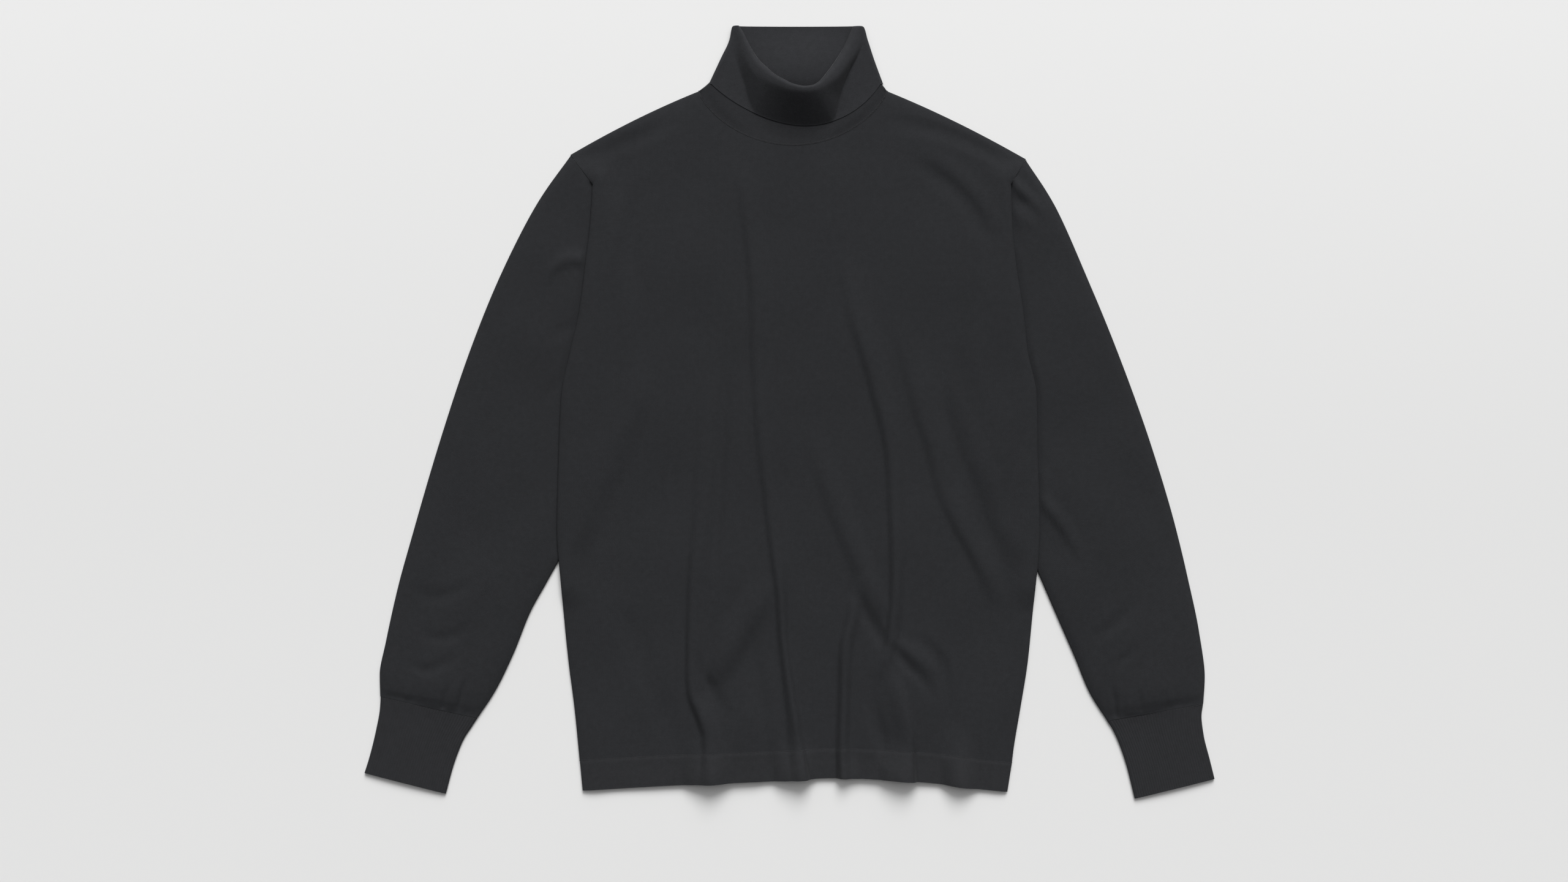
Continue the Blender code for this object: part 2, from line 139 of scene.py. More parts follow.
def topEdge(across, neckDepth):
    x = mix(shoulderLeft[0], shoulderRight[0], across)
    left = (x - shoulderLeft[0]) / (neckLeft[0] - shoulderLeft[0])
    neck = (x - neckLeft[0]) / (neckRight[0] - neckLeft[0])
    right = (x - neckRight[0]) / (shoulderRight[0] - neckRight[0])
    yLeft = mix(shoulderLeft[1], neckLeft[1], left) + shoulderBow * bowl(left, 1)
    yNeck = mix(neckLeft[1], neckRight[1], neck) - neckDepth * bowl(neck, neckCurve)
    yRight = mix(neckRight[1], shoulderRight[1], right) + shoulderBow * bowl(right, 1)
    return x, np.where(neck < 0, yLeft, np.where(neck > 1, yRight, yNeck))


def hemLine(ends, across):
    rise = smoothCurve(hemAcross, hemRise, across)
    return mix(ends[0, 0], ends[1, 0], across), mix(ends[0, 1], ends[1, 1], across) + rise


def sidePoint(column, along):
    shoulder = shoulderLeft if column == onLeft else shoulderRight
    seam = seamEnds[column - 1]
    y = mix(seam[1], cornerY, np.minimum(along / cornerAlong, 1.0))
    share = np.clip((along - cornerAlong) / (1.0 - cornerAlong), 0.0, 1.0)
    return mix(sideX(column, y), shoulder[0], share), mix(y, shoulder[1], share)


def bodyPlan(across, along, neckDepth):
    leftX, leftY = sidePoint(onLeft, along)
    rightX, rightY = sidePoint(onRight, along)
    footY = hemLine(seamEnds, across)[1]
    topY = topEdge(across, neckDepth)[1]
    straightTop = mix(shoulderLeft[1], shoulderRight[1], across)
    straightFoot = mix(seamEnds[0, 1], seamEnds[1, 1], across)
    y = mix(leftY, rightY, across) + (topY - straightTop) * along
    # away from the sides the columns run straight from the hem to the shoulders
    inside = ease(np.minimum(across, 1.0 - across) / 0.14)
    footX = mix(seamEnds[0, 0], seamEnds[1, 0], across)
    straightX = mix(footX, mix(shoulderLeft[0], shoulderRight[0], across), along)
    return mix(mix(leftX, rightX, across), straightX, inside), y + (footY - straightFoot) * (1.0 - along)


# The body lies over the sleeves at its sides, and steps down past their hidden edges
tuck = {"lift": 0.0038, "margin": 0.003, "blend": 0.028, "below": 0.002, "top": 0.030, "foot": 0.030}


def tuckLift(x, y):
    reach = sideX(reachesUnder, y)
    inwards = np.minimum(x - sideX(onLeft, y), sideX(onRight, y) - x)
    across = 1.0 - ease((inwards - reach - tuck["margin"]) / tuck["blend"])
    top = 1.0 - ease((y - cornerY - tuck["below"]) / tuck["top"])
    foot = ease((y - sides[5, 0] + tuck["foot"]) / tuck["foot"])
    return tuck["lift"] * across * top * foot


# Creases. Each row of a crease is a point of its crest: x, y, its height, and how far its two flanks
# reach, all in millimetres. Going down the body, the first flank is on the viewer's left.


def through(points, steps=6):
    points = np.asarray(points, float)
    padded = np.vstack([2 * points[0] - points[1], points, 2 * points[-1] - points[-2]])
    line = []
    for a, b, c, d in zip(padded, padded[1:], padded[2:], padded[3:]):
        for t in np.arange(steps) / steps:
            curved = 2 * b + (c - a) * t + (2 * a - 5 * b + 4 * c - d) * t**2 + (3 * b - a - 3 * c + d) * t**3
            line.append(0.5 * curved)
    return np.array(line + [points[-1]])


def creaseHeights(x, y, creases):
    total = np.zeros(x.shape)
    flatX, flatY = x.ravel(), y.ravel()
    for rows in creases:
        line = through(rows) * mm
        reach = np.abs(line[:, 3:]).max()
        near = (flatX > line[:, 0].min() - reach) & (flatX < line[:, 0].max() + reach)
        near &= (flatY > line[:, 1].min() - reach) & (flatY < line[:, 1].max() + reach)
        px, py = flatX[near], flatY[near]
        best = np.full(px.shape, 1e9)
        height = np.zeros(px.shape)
        for a, b in zip(line[:-1], line[1:]):
            dx, dy = b[0] - a[0], b[1] - a[1]
            length = math.hypot(dx, dy)
            share = np.clip(((px - a[0]) * dx + (py - a[1]) * dy) / length**2, 0.0, 1.0)
            away = np.hypot(px - a[0] - share * dx, py - a[1] - share * dy)
            side = dx * (py - a[1]) - dy * (px - a[0])
            flank = np.where(side > 0, mix(a[4], b[4], share), mix(a[3], b[3], share))
            raised = mix(a[2], b[2], share) * np.clip(1.0 - (away / flank) ** 2, 0.0, 1.0) ** 2
            closer = away < best
            best = np.where(closer, away, best)
            height = np.where(closer, raised, height)
        found = np.zeros(flatX.shape)
        found[near] = height
        total += found.reshape(x.shape)
    return total


frontCreases = [
    # the long fold down the middle
    [(-49, 249, 0, 8, 16), (-45, 215, 1.6, 8, 19), (-38, 153, 2.8, 8, 20), (-35, 115, 3.0, 8, 20),
     (-33, 44, 2.8, 8, 20), (-29, -18, 3.0, 8, 18), (-22, -80, 3.6, 8, 16), (-14, -148, 4.4, 7, 13),
     (-9, -185, 5.2, 7, 8), (-6, -229, 5.8, 7, 6), (0, -272, 6.2, 9, 5), (6, -309, 6.4, 11, 5),
     (11, -340, 6.2, 14, 5), (19, -384, 6.2, 17, 5)],
    # the one to its left, which turns in towards the hem
    [(-78, 44, 0, 14, 20), (-85, -30, 1.6, 12, 20), (-92, -117, 2.6, 9, 20), (-97, -161, 3.4, 7, 20),
     (-99, -198, 4.0, 6, 20), (-100, -235, 4.6, 6, 20), (-100, -269, 5.0, 6, 18), (-98, -288, 5.2, 6, 15),
     (-92, -303, 5.6, 6, 15), (-86, -319, 5.6, 6, 17), (-82, -335, 5.0, 8, 18), (-78, -384, 3.6, 14, 18)],
    # a tongue of slack between the two, which falls away to the lower right
    [(-20, -167, 0, 20, 14), (-33, -195, 2.6, 24, 17), (-51, -223, 4.0, 24, 20), (-66, -246, 4.2, 18, 22),
     (-76, -264, 2.6, 12, 20), (-80, -277, 0, 9, 15)],
    [(-94, -249, -0.6, 7, 9), (-86, -269, -1.4, 8, 10), (-76, -288, -1.9, 9, 12), (-64, -308, -0.8, 10, 12)],
    # a shallow hollow above the tongue and one beside the long fold
    [(-61, 106, 0, 14, 14), (-64, 44, -1.2, 14, 13), (-68, -18, -2.0, 13, 12), (-72, -86, -2.2, 12, 11),
     (-75, -136, -1.6, 11, 11), (-78, -173, 0, 10, 10)],
    [(-51, -173, 0, 14, 14), (-39, -241, -1.2, 17, 13), (-30, -285, -1.8, 18, 12), (-24, -334, -1.4, 16, 12),
     (-20, -384, -1.0, 15, 12)],
    # right of the middle, from the chest down
    [(51, 168, 0, 12, 20), (60, 125, 1.4, 11, 22), (66, 94, 2.4, 10, 22), (74, 69, 3.0, 9, 22),
     (82, 41, 3.4, 8, 22), (90, 10, 3.8, 8, 22), (98, -21, 4.0, 8, 20), (103, -55, 4.0, 8, 17),
     (105, -99, 4.2, 8, 14), (107, -148, 4.6, 8, 12), (106, -188, 4.8, 7, 11), (103, -223, 4.4, 7, 10),
     (97, -249, 3.0, 8, 11), (92, -272, 0, 9, 12)],
    # slanting out to the lower right
    [(105, 112, 0, 14, 24), (120, 50, 1.8, 12, 26), (133, -1, 2.8, 11, 26), (146, -40, 3.0, 11, 26),
     (156, -80, 2.8, 11, 24), (170, -112, 3.0, 10, 22), (185, -139, 3.4, 10, 20), (197, -162, 3.2, 10, 18),
     (206, -184, 1.4, 11, 16), (213, -201, 0, 11, 14)],
    [(166, 13, 0, 14, 22), (188, -52, 1.6, 13, 20), (205, -99, 2.0, 12, 18), (221, -136, 1.6, 12, 16),
     (230, -161, 0, 11, 14)],
    [(17, -12, 0, 14, 20), (35, -63, 1.8, 14, 20), (50, -104, 2.6, 14, 20), (63, -136, 3.0, 14, 18),
     (75, -164, 3.0, 14, 16), (86, -190, 2.2, 14, 14), (95, -211, 0, 12, 11)],
    [(64, -182, -0.6, 9, 10), (78, -207, -2.2, 10, 11), (90, -226, -2.8, 10, 10), (97, -242, -0.8, 9, 9)],
    # the narrow fold that runs off the hem
    [(71, -164, 0, 9, 10), (67, -187, 2.2, 9, 10), (61, -215, 4.2, 8, 10), (56, -241, 5.4, 8, 10),
     (55, -272, 6.0, 7, 9), (54, -303, 6.2, 7, 9), (53, -337, 6.2, 7, 9), (54, -384, 6.4, 7, 10)],
    [(101, -260, 0, 14, 11), (110, -281, 2.6, 17, 8), (117, -303, 4.2, 19, 6), (122, -325, 5.2, 20, 5.5),
     (123, -350, 5.4, 20, 5.5), (124, -384, 5.6, 20, 6)],
    # short crossing puckers beside it
    [(107, -231, 0.6, 8, 7), (117, -239, 1.7, 8, 8), (130, -250, 1.9, 8, 8), (142, -262, 0.8, 8, 8)],
    [(106, -242, -0.6, 7, 7), (118, -257, -2.2, 7, 8), (133, -272, -1.8, 8, 9), (142, -285, -0.6, 9, 9)],
    [(128, -229, -0.4, 8, 9), (141, -239, -1.4, 8, 10), (152, -254, -2.0, 9, 11), (157, -272, -1.8, 10, 11),
     (161, -303, -1.2, 11, 12), (162, -343, -0.8, 12, 12)],
    [(84, -272, -0.6, 11, 11), (85, -297, -1.6, 12, 12), (92, -326, -3.2, 12, 11), (97, -350, -1.0, 11, 10)],
    [(166, -316, 0, 16, 16), (170, -347, 2.4, 17, 17), (172, -384, 3.6, 18, 18)],
    # slack across the shoulders and chest
    [(-210, 254, -0.5, 11, 11), (-172, 269, -1.3, 13, 13), (-149, 278, -1.3, 13, 13), (-110, 296, 0, 11, 11)],
    [(94, 292, 0, 12, 11), (135, 286, -1.2, 13, 12), (163, 278, -1.5, 13, 11), (192, 266, -1.4, 12, 10),
     (219, 250, -0.4, 10, 9)],
    [(117, 257, 0, 12, 11), (143, 240, -1.1, 13, 11), (165, 224, -1.4, 13, 11), (184, 202, -1.4, 14, 12),
     (194, 182, -1.0, 14, 12), (209, 166, 0, 13, 11)],
    [(130, 265, 0, 10, 13), (156, 249, 0.9, 10, 13), (180, 229, 1.1, 10, 14), (199, 205, 0.8, 11, 14),
     (213, 180, 0, 11, 13)],
    [(-131, 242, 0, 15, 17), (-152, 211, -1.2, 16, 19), (-164, 162, -1.6, 16, 21), (-172, 106, -1.4, 15, 21),
     (-175, 44, -1.2, 14, 20), (-179, -18, 0, 13, 18)],
    [(-179, -195, 0, 16, 18), (-161, -223, -1, 17, 20), (-141, -272, -1.2, 17, 20), (-122, -322, -1, 16, 18),
     (-115, -353, 0, 14, 16)],
    [(168, 69, 0, 16, 16), (180, 19, -1.4, 18, 18), (188, -30, -1.2, 18, 18), (197, -68, 0, 16, 16)],
    # the whole middle stands up a little off the back
    [(-68, 19, 0, 60, 60), (-74, -80, 1.2, 70, 70), (-55, -204, 2.2, 80, 90), (-49, -384, 2.6, 80, 90)],
    [(81, 118, 0, 60, 60), (94, -18, 1.4, 75, 75), (100, -204, 2.2, 90, 90), (100, -384, 2.4, 90, 90)],
]

# Where the hem stands off the table: x, half its width, its height and how far up the body it reaches
hemLifts = [
    (-82, 27, 8.0, 60),
    (6, 23, 8.5, 55),
    (60, 13, 3.0, 30),
    (110, 21, 8.0, 50),
    (172, 21, 6.5, 60),
]


def hemLift(x, y):
    across = (x - hemEnds[0, 0]) / (hemEnds[1, 0] - hemEnds[0, 0])
    edge = hemLine(hemEnds, np.clip(across, 0.0, 1.0))[1]
    lifted = np.zeros(x.shape)
    for middle, half, height, reach in hemLifts:
        aside = np.clip(1.0 - ((x - middle * mm) / (half * mm)) ** 2, 0.0, 1.0) ** 1.5
        lifted += height * mm * aside * ease(1.0 - (y - edge) / (reach * mm)) ** 1.5
    return lifted


def makeWaves(count, shortest, longest, height):
    waves = []
    for _ in range(count):
        turn = luck.uniform(0, math.pi)
        length = luck.uniform(shortest, longest)
        waves.append((turn, length, luck.uniform(0, 2 * math.pi), height / count))
    return waves


def waveHeights(x, y, waves):
    total = np.zeros(x.shape)
    for turn, length, start, height in waves:
        total += height * np.sin(2 * math.pi * (x * math.cos(turn) + y * math.sin(turn)) / length + start)
    return total


frontWaves = makeWaves(12, 0.07, 0.20, 0.0030)
sleeveWaves = makeWaves(10, 0.05, 0.14, 0.0022)
backWaves = makeWaves(10, 0.06, 0.16, 0.0016)
frontPlace = {"edgeAir": 0.0003, "air": 0.0024, "edgeWidth": 0.014, "columns": (14, 54, 78), "rows": (184, 30)}
backPlace = {"calm": 0.035, "columns": (6, 30, 36), "rows": (104, 10)}


def frontHeight(x, y, fromEdge):
    rounded = rounding(fromEdge, frontPlace["edgeWidth"])
    calm = ease(fromEdge / 0.030)
    lift = tuckLift(x, y)
    slack = creaseHeights(x, y, frontCreases) * rounded + waveHeights(x, y, frontWaves) * calm
    floor = 1.5 * fabric + frontPlace["edgeAir"]
    air = mix(frontPlace["edgeAir"], frontPlace["air"], rounded)
    height = 1.5 * fabric + air + slack + hemLift(x, y) * rounded
    return lift + np.maximum(height, floor + 0.0002 * calm)


# Meshes


def placed(name, data):
    piece = bpy.data.objects.new(name, data)
    bpy.context.scene.collection.objects.link(piece)
    return piece


def bare(name, points, faces, uvs):
    mesh = bpy.data.meshes.new(name)
    mesh.from_pydata(points.reshape(-1, 3).tolist(), [], faces.tolist())
    mesh.shade_smooth()
    # free edges are sharp, so that the cloth's shading doesn't run over its rim
    loopEdges = np.empty(len(mesh.loops), np.int32)
    mesh.loops.foreach_get("edge_index", loopEdges)
    free = np.bincount(loopEdges, minlength=len(mesh.edges)) == 1
    mesh.attributes.new("sharp_edge", "BOOLEAN", "EDGE").data.foreach_set("value", free)
    layer = mesh.uv_layers.new(name="cloth")
    layer.data.foreach_set("uv", uvs.astype(np.float32).ravel())
    return placed(name, mesh)


def gridPiece(name, points, uv, closed=False, flip=False):
    rows, columns = points.shape[:2]
    across = columns if closed else columns - 1
    r, c = np.meshgrid(np.arange(rows - 1), np.arange(across), indexing="ij")
    after = (c + 1) % columns
    corners = [(r, c), (r, c + 1), (r + 1, c + 1), (r + 1, c)]
    first, second = r * columns, (r + 1) * columns
    faces = np.stack([first + c, first + after, second + after, second + c], -1)
    uvs = np.stack([uv[row, column] for row, column in corners], -2)
    if flip:
        faces, uvs = faces[..., ::-1], uvs[..., ::-1, :]
    return bare(name, points, faces.reshape(-1, 4), uvs)


def giveFabric(piece, material):
    piece.data.materials.clear()
    piece.data.materials.append(material)
    solid = piece.modifiers.new("fabric", "SOLIDIFY")
    solid.thickness = fabric
    solid.offset = 0.0
    solid.use_even_offset = False
    return piece


# Shader groups: they give colours, masks and heights, and each material keeps its own shader


def addNode(tree, kind, inputs, **choices):
    # a node with its choices made and each input set or linked, known by its first output
    node = tree.nodes.new(kind)
    for name, value in choices.items():
        setattr(node, name, value)
    for name, value in inputs.items():
        if isinstance(value, bpy.types.NodeSocket):
            tree.links.new(value, node.inputs[name])
        else:
            node.inputs[name].default_value = value
    return node.outputs[0]


def mathNode(tree, operation, *values):
    return addNode(tree, "ShaderNodeMath", dict(enumerate(values)), operation=operation)


def scaledVector(tree, vector, factor):
    return addNode(tree, "ShaderNodeVectorMath", {0: vector, "Scale": factor}, operation="SCALE")


def noiseNode(tree, vector, scale, detail, roughness):
    settings = {"Vector": vector, "Scale": scale, "Detail": detail, "Roughness": roughness}
    return addNode(tree, "ShaderNodeTexNoise", settings)


def newGroup(name, kind, inputs, outputs):
    # an empty group, with the sockets it is given and the ones it gives
    tree = bpy.data.node_groups.new(name, kind)
    for label, sort, value in inputs:
        socket = tree.interface.new_socket(name=label, in_out="INPUT", socket_type="NodeSocket" + sort)
        if value is not None:
            socket.default_value = value
    for label, sort in outputs:
        tree.interface.new_socket(name=label, in_out="OUTPUT", socket_type="NodeSocket" + sort)
    return tree, tree.nodes.new("NodeGroupInput").outputs, tree.nodes.new("NodeGroupOutput").inputs


def makeStitchGroup():
    # plain knit: upright columns of small V shapes, and a mask of the gaps between them for a painted shade
    tree, given, result = newGroup(
        "plainKnit", "ShaderNodeTree",
        [("Vector", "Vector", None), ("Wale", "Float", 0.0015), ("Course", "Float", 0.0011)],
        [("Height", "Float"), ("Gap", "Float")])
    place = addNode(tree, "ShaderNodeSeparateXYZ", {0: given["Vector"]}).node.outputs
    column = mathNode(tree, "DIVIDE", place[0], given["Wale"])
    course = mathNode(tree, "DIVIDE", place[1], given["Course"])
    inColumn = mathNode(tree, "ABSOLUTE", mathNode(tree, "SUBTRACT", mathNode(tree, "FRACT", column), 0.5))
    slant = mathNode(tree, "MULTIPLY_ADD", inColumn, -1.5, course)
    loops = mathNode(tree, "SINE", mathNode(tree, "MULTIPLY", slant, 2 * math.pi))
    quarter = mathNode(tree, "SUBTRACT", inColumn, 0.25)
    arch = mathNode(tree, "COSINE", mathNode(tree, "MULTIPLY", quarter, 2 * math.pi))
    height = mathNode(tree, "MULTIPLY_ADD", loops, 0.3, mathNode(tree, "MULTIPLY", arch, 0.7))
    gap = mathNode(tree, "SMOOTH_MIN", mathNode(tree, "MULTIPLY", arch, 2.0), 1.0, 0.3)
    tree.links.new(height, result["Height"])
    tree.links.new(gap, result["Gap"])
    return tree


def makeHeatherGroup():
    # fibres of slightly different darkness, and a slow change of tone
    tree, given, result = newGroup(
        "heather", "ShaderNodeTree",
        [("Vector", "Vector", None), ("Yarn", "Color", (0.03, 0.03, 0.03, 1)), ("Amount", "Float", 0.3)],
        [("Color", "Color"), ("Fibres", "Float")])
    fine = noiseNode(tree, given["Vector"], 700.0, 3.0, 0.6)
    middle = noiseNode(tree, given["Vector"], 190.0, 2.0, 0.5)
    slow = noiseNode(tree, given["Vector"], 22.0, 2.0, 0.5)
    broad = mathNode(tree, "MULTIPLY_ADD", middle, 0.3, mathNode(tree, "MULTIPLY", slow, 0.15))
    total = mathNode(tree, "MULTIPLY_ADD", fine, 0.55, broad)
    swing = mathNode(tree, "MULTIPLY", mathNode(tree, "SUBTRACT", total, 0.5), given["Amount"])
    factor = mathNode(tree, "ADD", mathNode(tree, "MULTIPLY", swing, 4.0), 1.0)
    tree.links.new(scaledVector(tree, given["Yarn"], factor), result["Color"])
    tree.links.new(fine, result["Fibres"])
    return tree


def makePaintedLightGroup():
    # painted light: a brightening that rises smoothly from 1 at a height on the table to its full gain further
    # up it, standing in for how the light falls off across the table
    tree, given, result = newGroup(
        "paintedLightRamp", "ShaderNodeTree",
        [("Vector", "Vector", None), ("Start", "Float", 0.0), ("Length", "Float", 0.3),
         ("Gain", "Float", 0.1), ("Curve", "Float", 1.3)],
        [("Tone", "Float")])
    place = addNode(tree, "ShaderNodeSeparateXYZ", {0: given["Vector"]}).node.outputs
    past = mathNode(tree, "SUBTRACT", place[1], given["Start"])
    share = mathNode(tree, "DIVIDE", past, given["Length"])
    clear = mathNode(tree, "MINIMUM", mathNode(tree, "MAXIMUM", share, 0.0), 1.0)
    bent = mathNode(tree, "POWER", clear, given["Curve"])
    tree.links.new(mathNode(tree, "MULTIPLY_ADD", bent, given["Gain"], 1.0), result["Tone"])
    return tree


stitchGroup = makeStitchGroup()
heatherGroup = makeHeatherGroup()
paintedLightGroup = makePaintedLightGroup()


def addPaintedLight(tree, vector, start, length, gain):
    settings = {"Vector": vector, "Start": start, "Length": length, "Gain": gain}
    return addNode(tree, "ShaderNodeGroup", settings, node_tree=paintedLightGroup)


wool = {
    "sheen": 0.22, "sheenRoughness": 0.30, "sheenTint": (0.62, 0.62, 0.63, 1.0), "ior": 1.35,
    "roughness": 0.87, "fibreRoughness": 0.10, "course": 0.0011, "mottling": 0.26, "gapShade": 0.07,
    "relief": 0.0003, "fibreRelief": 0.8,
    # painted light: the cloth is made lighter towards the shoulders and a little towards the hem
    "paintedLight": ((0.02, 0.28, 0.14), (0.0, -0.38, 0.06)),  # start, length and gain
}


def makeWool(name, yarn, wale, bump, purlTone=0.0):
    material = bpy.data.materials.new(name)
    material.use_nodes = True
    tree = material.node_tree
    shader = tree.nodes["Principled BSDF"].inputs
    shader["Sheen Weight"].default_value = wool["sheen"]
    shader["Sheen Roughness"].default_value = wool["sheenRoughness"]
    shader["Sheen Tint"].default_value = wool["sheenTint"]
    shader["IOR"].default_value = wool["ior"]
    places = tree.nodes.new("ShaderNodeTexCoord").outputs
    loops = {"Vector": places["UV"], "Wale": wale, "Course": wool["course"]}
    knit = addNode(tree, "ShaderNodeGroup", loops, node_tree=stitchGroup).node.outputs
    dye = {"Vector": places["Object"], "Yarn": (*yarn, 1.0), "Amount": wool["mottling"]}
    heather = addNode(tree, "ShaderNodeGroup", dye, node_tree=heatherGroup).node.outputs
    # painted shade: the colour is darkened a little in the gaps between the stitch columns
    shade = mathNode(tree, "MULTIPLY_ADD", knit["Gap"], wool["gapShade"], 1.0 - wool["gapShade"])
    if purlTone:
        purl = addNode(tree, "ShaderNodeAttribute", {}, attribute_name="purl").node.outputs["Fac"]
        shade = mathNode(tree, "MULTIPLY", shade, mathNode(tree, "MULTIPLY_ADD", purl, purlTone, 1.0))
    # painted light: brighter towards the shoulders and a little towards the hem, where the light falls more
    # strongly
    for paintedRamp in wool["paintedLight"]:
        shade = mathNode(tree, "MULTIPLY", shade, addPaintedLight(tree, places["Object"], *paintedRamp))
    tree.links.new(scaledVector(tree, heather["Color"], shade), shader["Base Color"])
    rough = mathNode(tree, "MULTIPLY_ADD", heather["Fibres"], wool["fibreRoughness"], wool["roughness"])
    tree.links.new(rough, shader["Roughness"])
    height = mathNode(tree, "MULTIPLY_ADD", heather["Fibres"], wool["fibreRelief"], knit["Height"])
    relief = {"Strength": bump, "Distance": wool["relief"], "Height": height}
    tree.links.new(addNode(tree, "ShaderNodeBump", relief), shader["Normal"])
    return material


bodyWool = makeWool("bodyWool", (0.0186, 0.0194, 0.0217), 0.0015, 0.35)
collarWool = makeWool("collarWool", (0.0180, 0.0186, 0.0208), 0.0015, 0.35, purlTone=0.24)
cuffWool = makeWool("cuffWool", (0.0203, 0.0208, 0.0230), 0.0013, 0.35)
hemWool = makeWool("hemWool", (0.0210, 0.0216, 0.0238), 0.0014, 0.35)
seamWool = makeWool("seamWool", (0.0250, 0.0256, 0.0280), 0.0013, 0.2)
print("materials made")


# Front and back panels


def shareColumns(fine, plain, neckCells):
    width = shoulderRight[0] - shoulderLeft[0]
    neckStart = (neckLeft[0] - shoulderLeft[0]) / width
    neckEnd = (neckRight[0] - shoulderLeft[0]) / width
    rim = 0.016 / width
    shares = np.concatenate([
        np.linspace(0, rim, fine, endpoint=False),
        np.linspace(rim, neckStart, plain, endpoint=False),
        np.linspace(neckStart, neckEnd, neckCells, endpoint=False),
        np.linspace(neckEnd, 1 - rim, plain, endpoint=False),
        np.linspace(1 - rim, 1, fine + 1),
    ])
    return bordered(shares, 0.0006), neckStart, neckEnd


def panelRows(plain, fine):
    shares = np.concatenate([
        np.linspace(0, cornerAlong, plain, endpoint=False),
        np.linspace(cornerAlong, 1, fine + 1),
    ])
    return bordered(shares, 0.0005)


def edgeDistance(across, along):
    width = sidePoint(2, along)[0] - sidePoint(1, along)[0]
    nearNeck = ease((across - neckStart) / 0.012) * ease((neckEnd - across) / 0.012)
    above = (1.0 - along) * (shoulderLeft[1] - seamEnds[0, 1]) + nearNeck * frontPlace["edgeWidth"] * 2
    besideSleeve = ease((along - cornerAlong) / (1.0 - cornerAlong)) * 0.010
    return np.minimum(np.minimum(across, 1.0 - across) * width + besideSleeve, above)


def makePanel(name, columns, rows, neckDepth, heightOf):
    across, along = np.meshgrid(columns, rows)
    x, y = bodyPlan(across, along, neckDepth)
    points = np.stack([x, y, heightOf(x, y, edgeDistance(across, along))], -1)
    uv = np.stack([(across - 0.5) * (shoulderRight[0] - shoulderLeft[0]), y], -1)
    return giveFabric(gridPiece(name, points, uv), bodyWool), points


columns, neckStart, neckEnd = shareColumns(*frontPlace["columns"])
rows = panelRows(*frontPlace["rows"])
frontPanel, frontPoints = makePanel("frontPanel", columns, rows, neckDepthFront, frontHeight)
frontRim, frontFoot = frontPoints[-1], frontPoints[0]
frontSides = frontPoints[:, 0], frontPoints[:, -1]
print("front panel", len(frontPanel.data.polygons) * 4, "triangles")

backCreases = [
    [(-150, 180, 0, 14, 14), (-120, 120, 0.7, 14, 14), (-110, 20, 0.8, 14, 16), (-130, -90, 0, 14, 14)],
    [(40, 230, 0, 12, 14), (52, 120, 0.8, 12, 14), (46, -20, 0.9, 12, 14), (60, -160, 0, 12, 14)],
    [(140, 60, 0, 12, 14), (120, -60, 0.7, 12, 14), (132, -200, 0.6, 12, 14), (150, -300, 0, 12, 14)],
    [(-60, -80, 0, 12, 12), (-48, -190, 0.8, 12, 12), (-66, -300, 0.7, 12, 12), (-60, -345, 0, 12, 12)],
]


def backHeight(x, y, fromEdge):
    calm = ease(fromEdge / backPlace["calm"])
    slack = creaseHeights(x, y, backCreases) + np.maximum(waveHeights(x, y, backWaves), 0.0)
    return 0.5 * fabric + tuckLift(x, y) + slack * calm


backColumns = shareColumns(*backPlace["columns"])[0]
backPanel, backPoints = makePanel(
    "backPanel", backColumns, panelRows(*backPlace["rows"]), neckDepthBack, backHeight)
print("back panel", len(backPanel.data.polygons) * 4, "triangles")


# Hem bands


hemForm = {
    "rimShare": 0.012, "sideShare": 0.0006,
    "lip": 0.0004, "lipShare": 0.04, "fall": 0.0002, "fallShare": 0.35,
}


def hemPiece(name, columnCount, rowCount, isFront):
    down = bordered(np.linspace(0, 1, rowCount + 1), hemForm["rimShare"])
    a, d = np.meshgrid(bordered(np.linspace(0, 1, columnCount + 1), hemForm["sideShare"]), down)
    seamX, seamY = hemLine(seamEnds, a)
    edgeX, edgeY = hemLine(hemEnds, a)
    x = mix(seamX, edgeX, d)
    y = mix(seamY - linkGap, edgeY, d)
    width = seamEnds[1, 0] - seamEnds[0, 0]
    z = np.full(x.shape, 0.5 * fabric)
    if isFront:
        lip = hemForm["lip"] * ease(d / hemForm["lipShare"]) - hemForm["fall"] * ease(d / hemForm["fallShare"])
        z = frontHeight(x, y, np.minimum(a, 1 - a) * width) + lip
    uv = np.stack([(a - 0.5) * width, y], -1)
    return giveFabric(gridPiece(name, np.stack([x, y, z], -1), uv, flip=True), hemWool)


hemBandFront = hemPiece("hemBandFront", 360, 16, True)
hemBandBack = hemPiece("hemBandBack", 180, 8, False)
print("hem bands made")


# Sleeves and cuffs. Each row: outer x, outer y, inner x, inner y, puff, in millimetres

sleeveLeftTable = mm * np.array([
    (-221.3, 258.5, -165, 15, 0.0),
    (-254, 212, -172, -10, 0.8),
    (-292, 138, -186, -45, 1.0),
    (-323.5, 60, -206, -88, 1.2),
    (-355, -35, -226, -137, 1.6),
    (-380.5, -122, -246, -174, 2.2),
    (-396.5, -180, -262, -203, 2.6),
    (-408, -232, -279, -245, 3.4),
    (-414.5, -266, -297, -282, 4.0),
    (-414, -288.4, -315.6, -310.4, 1.2),
])
sleeveRightTable = mm * np.array([
    (238.7, 254, 183, 10, 0.0),
    (267, 210, 191, -15, 0.8),
    (302.5, 131, 206, -50, 1.0),
    (330, 64, 224, -95, 1.2),
    (363.5, -28, 243, -143, 1.6),
    (389, -112, 261, -186, 2.2),
    (403.5, -172, 274, -216, 2.6),
    (414, -222, 288, -248, 3.4),
    (420, -268, 303, -284, 4.0),
    (418.5, -296, 321, -313, 1.2),
])
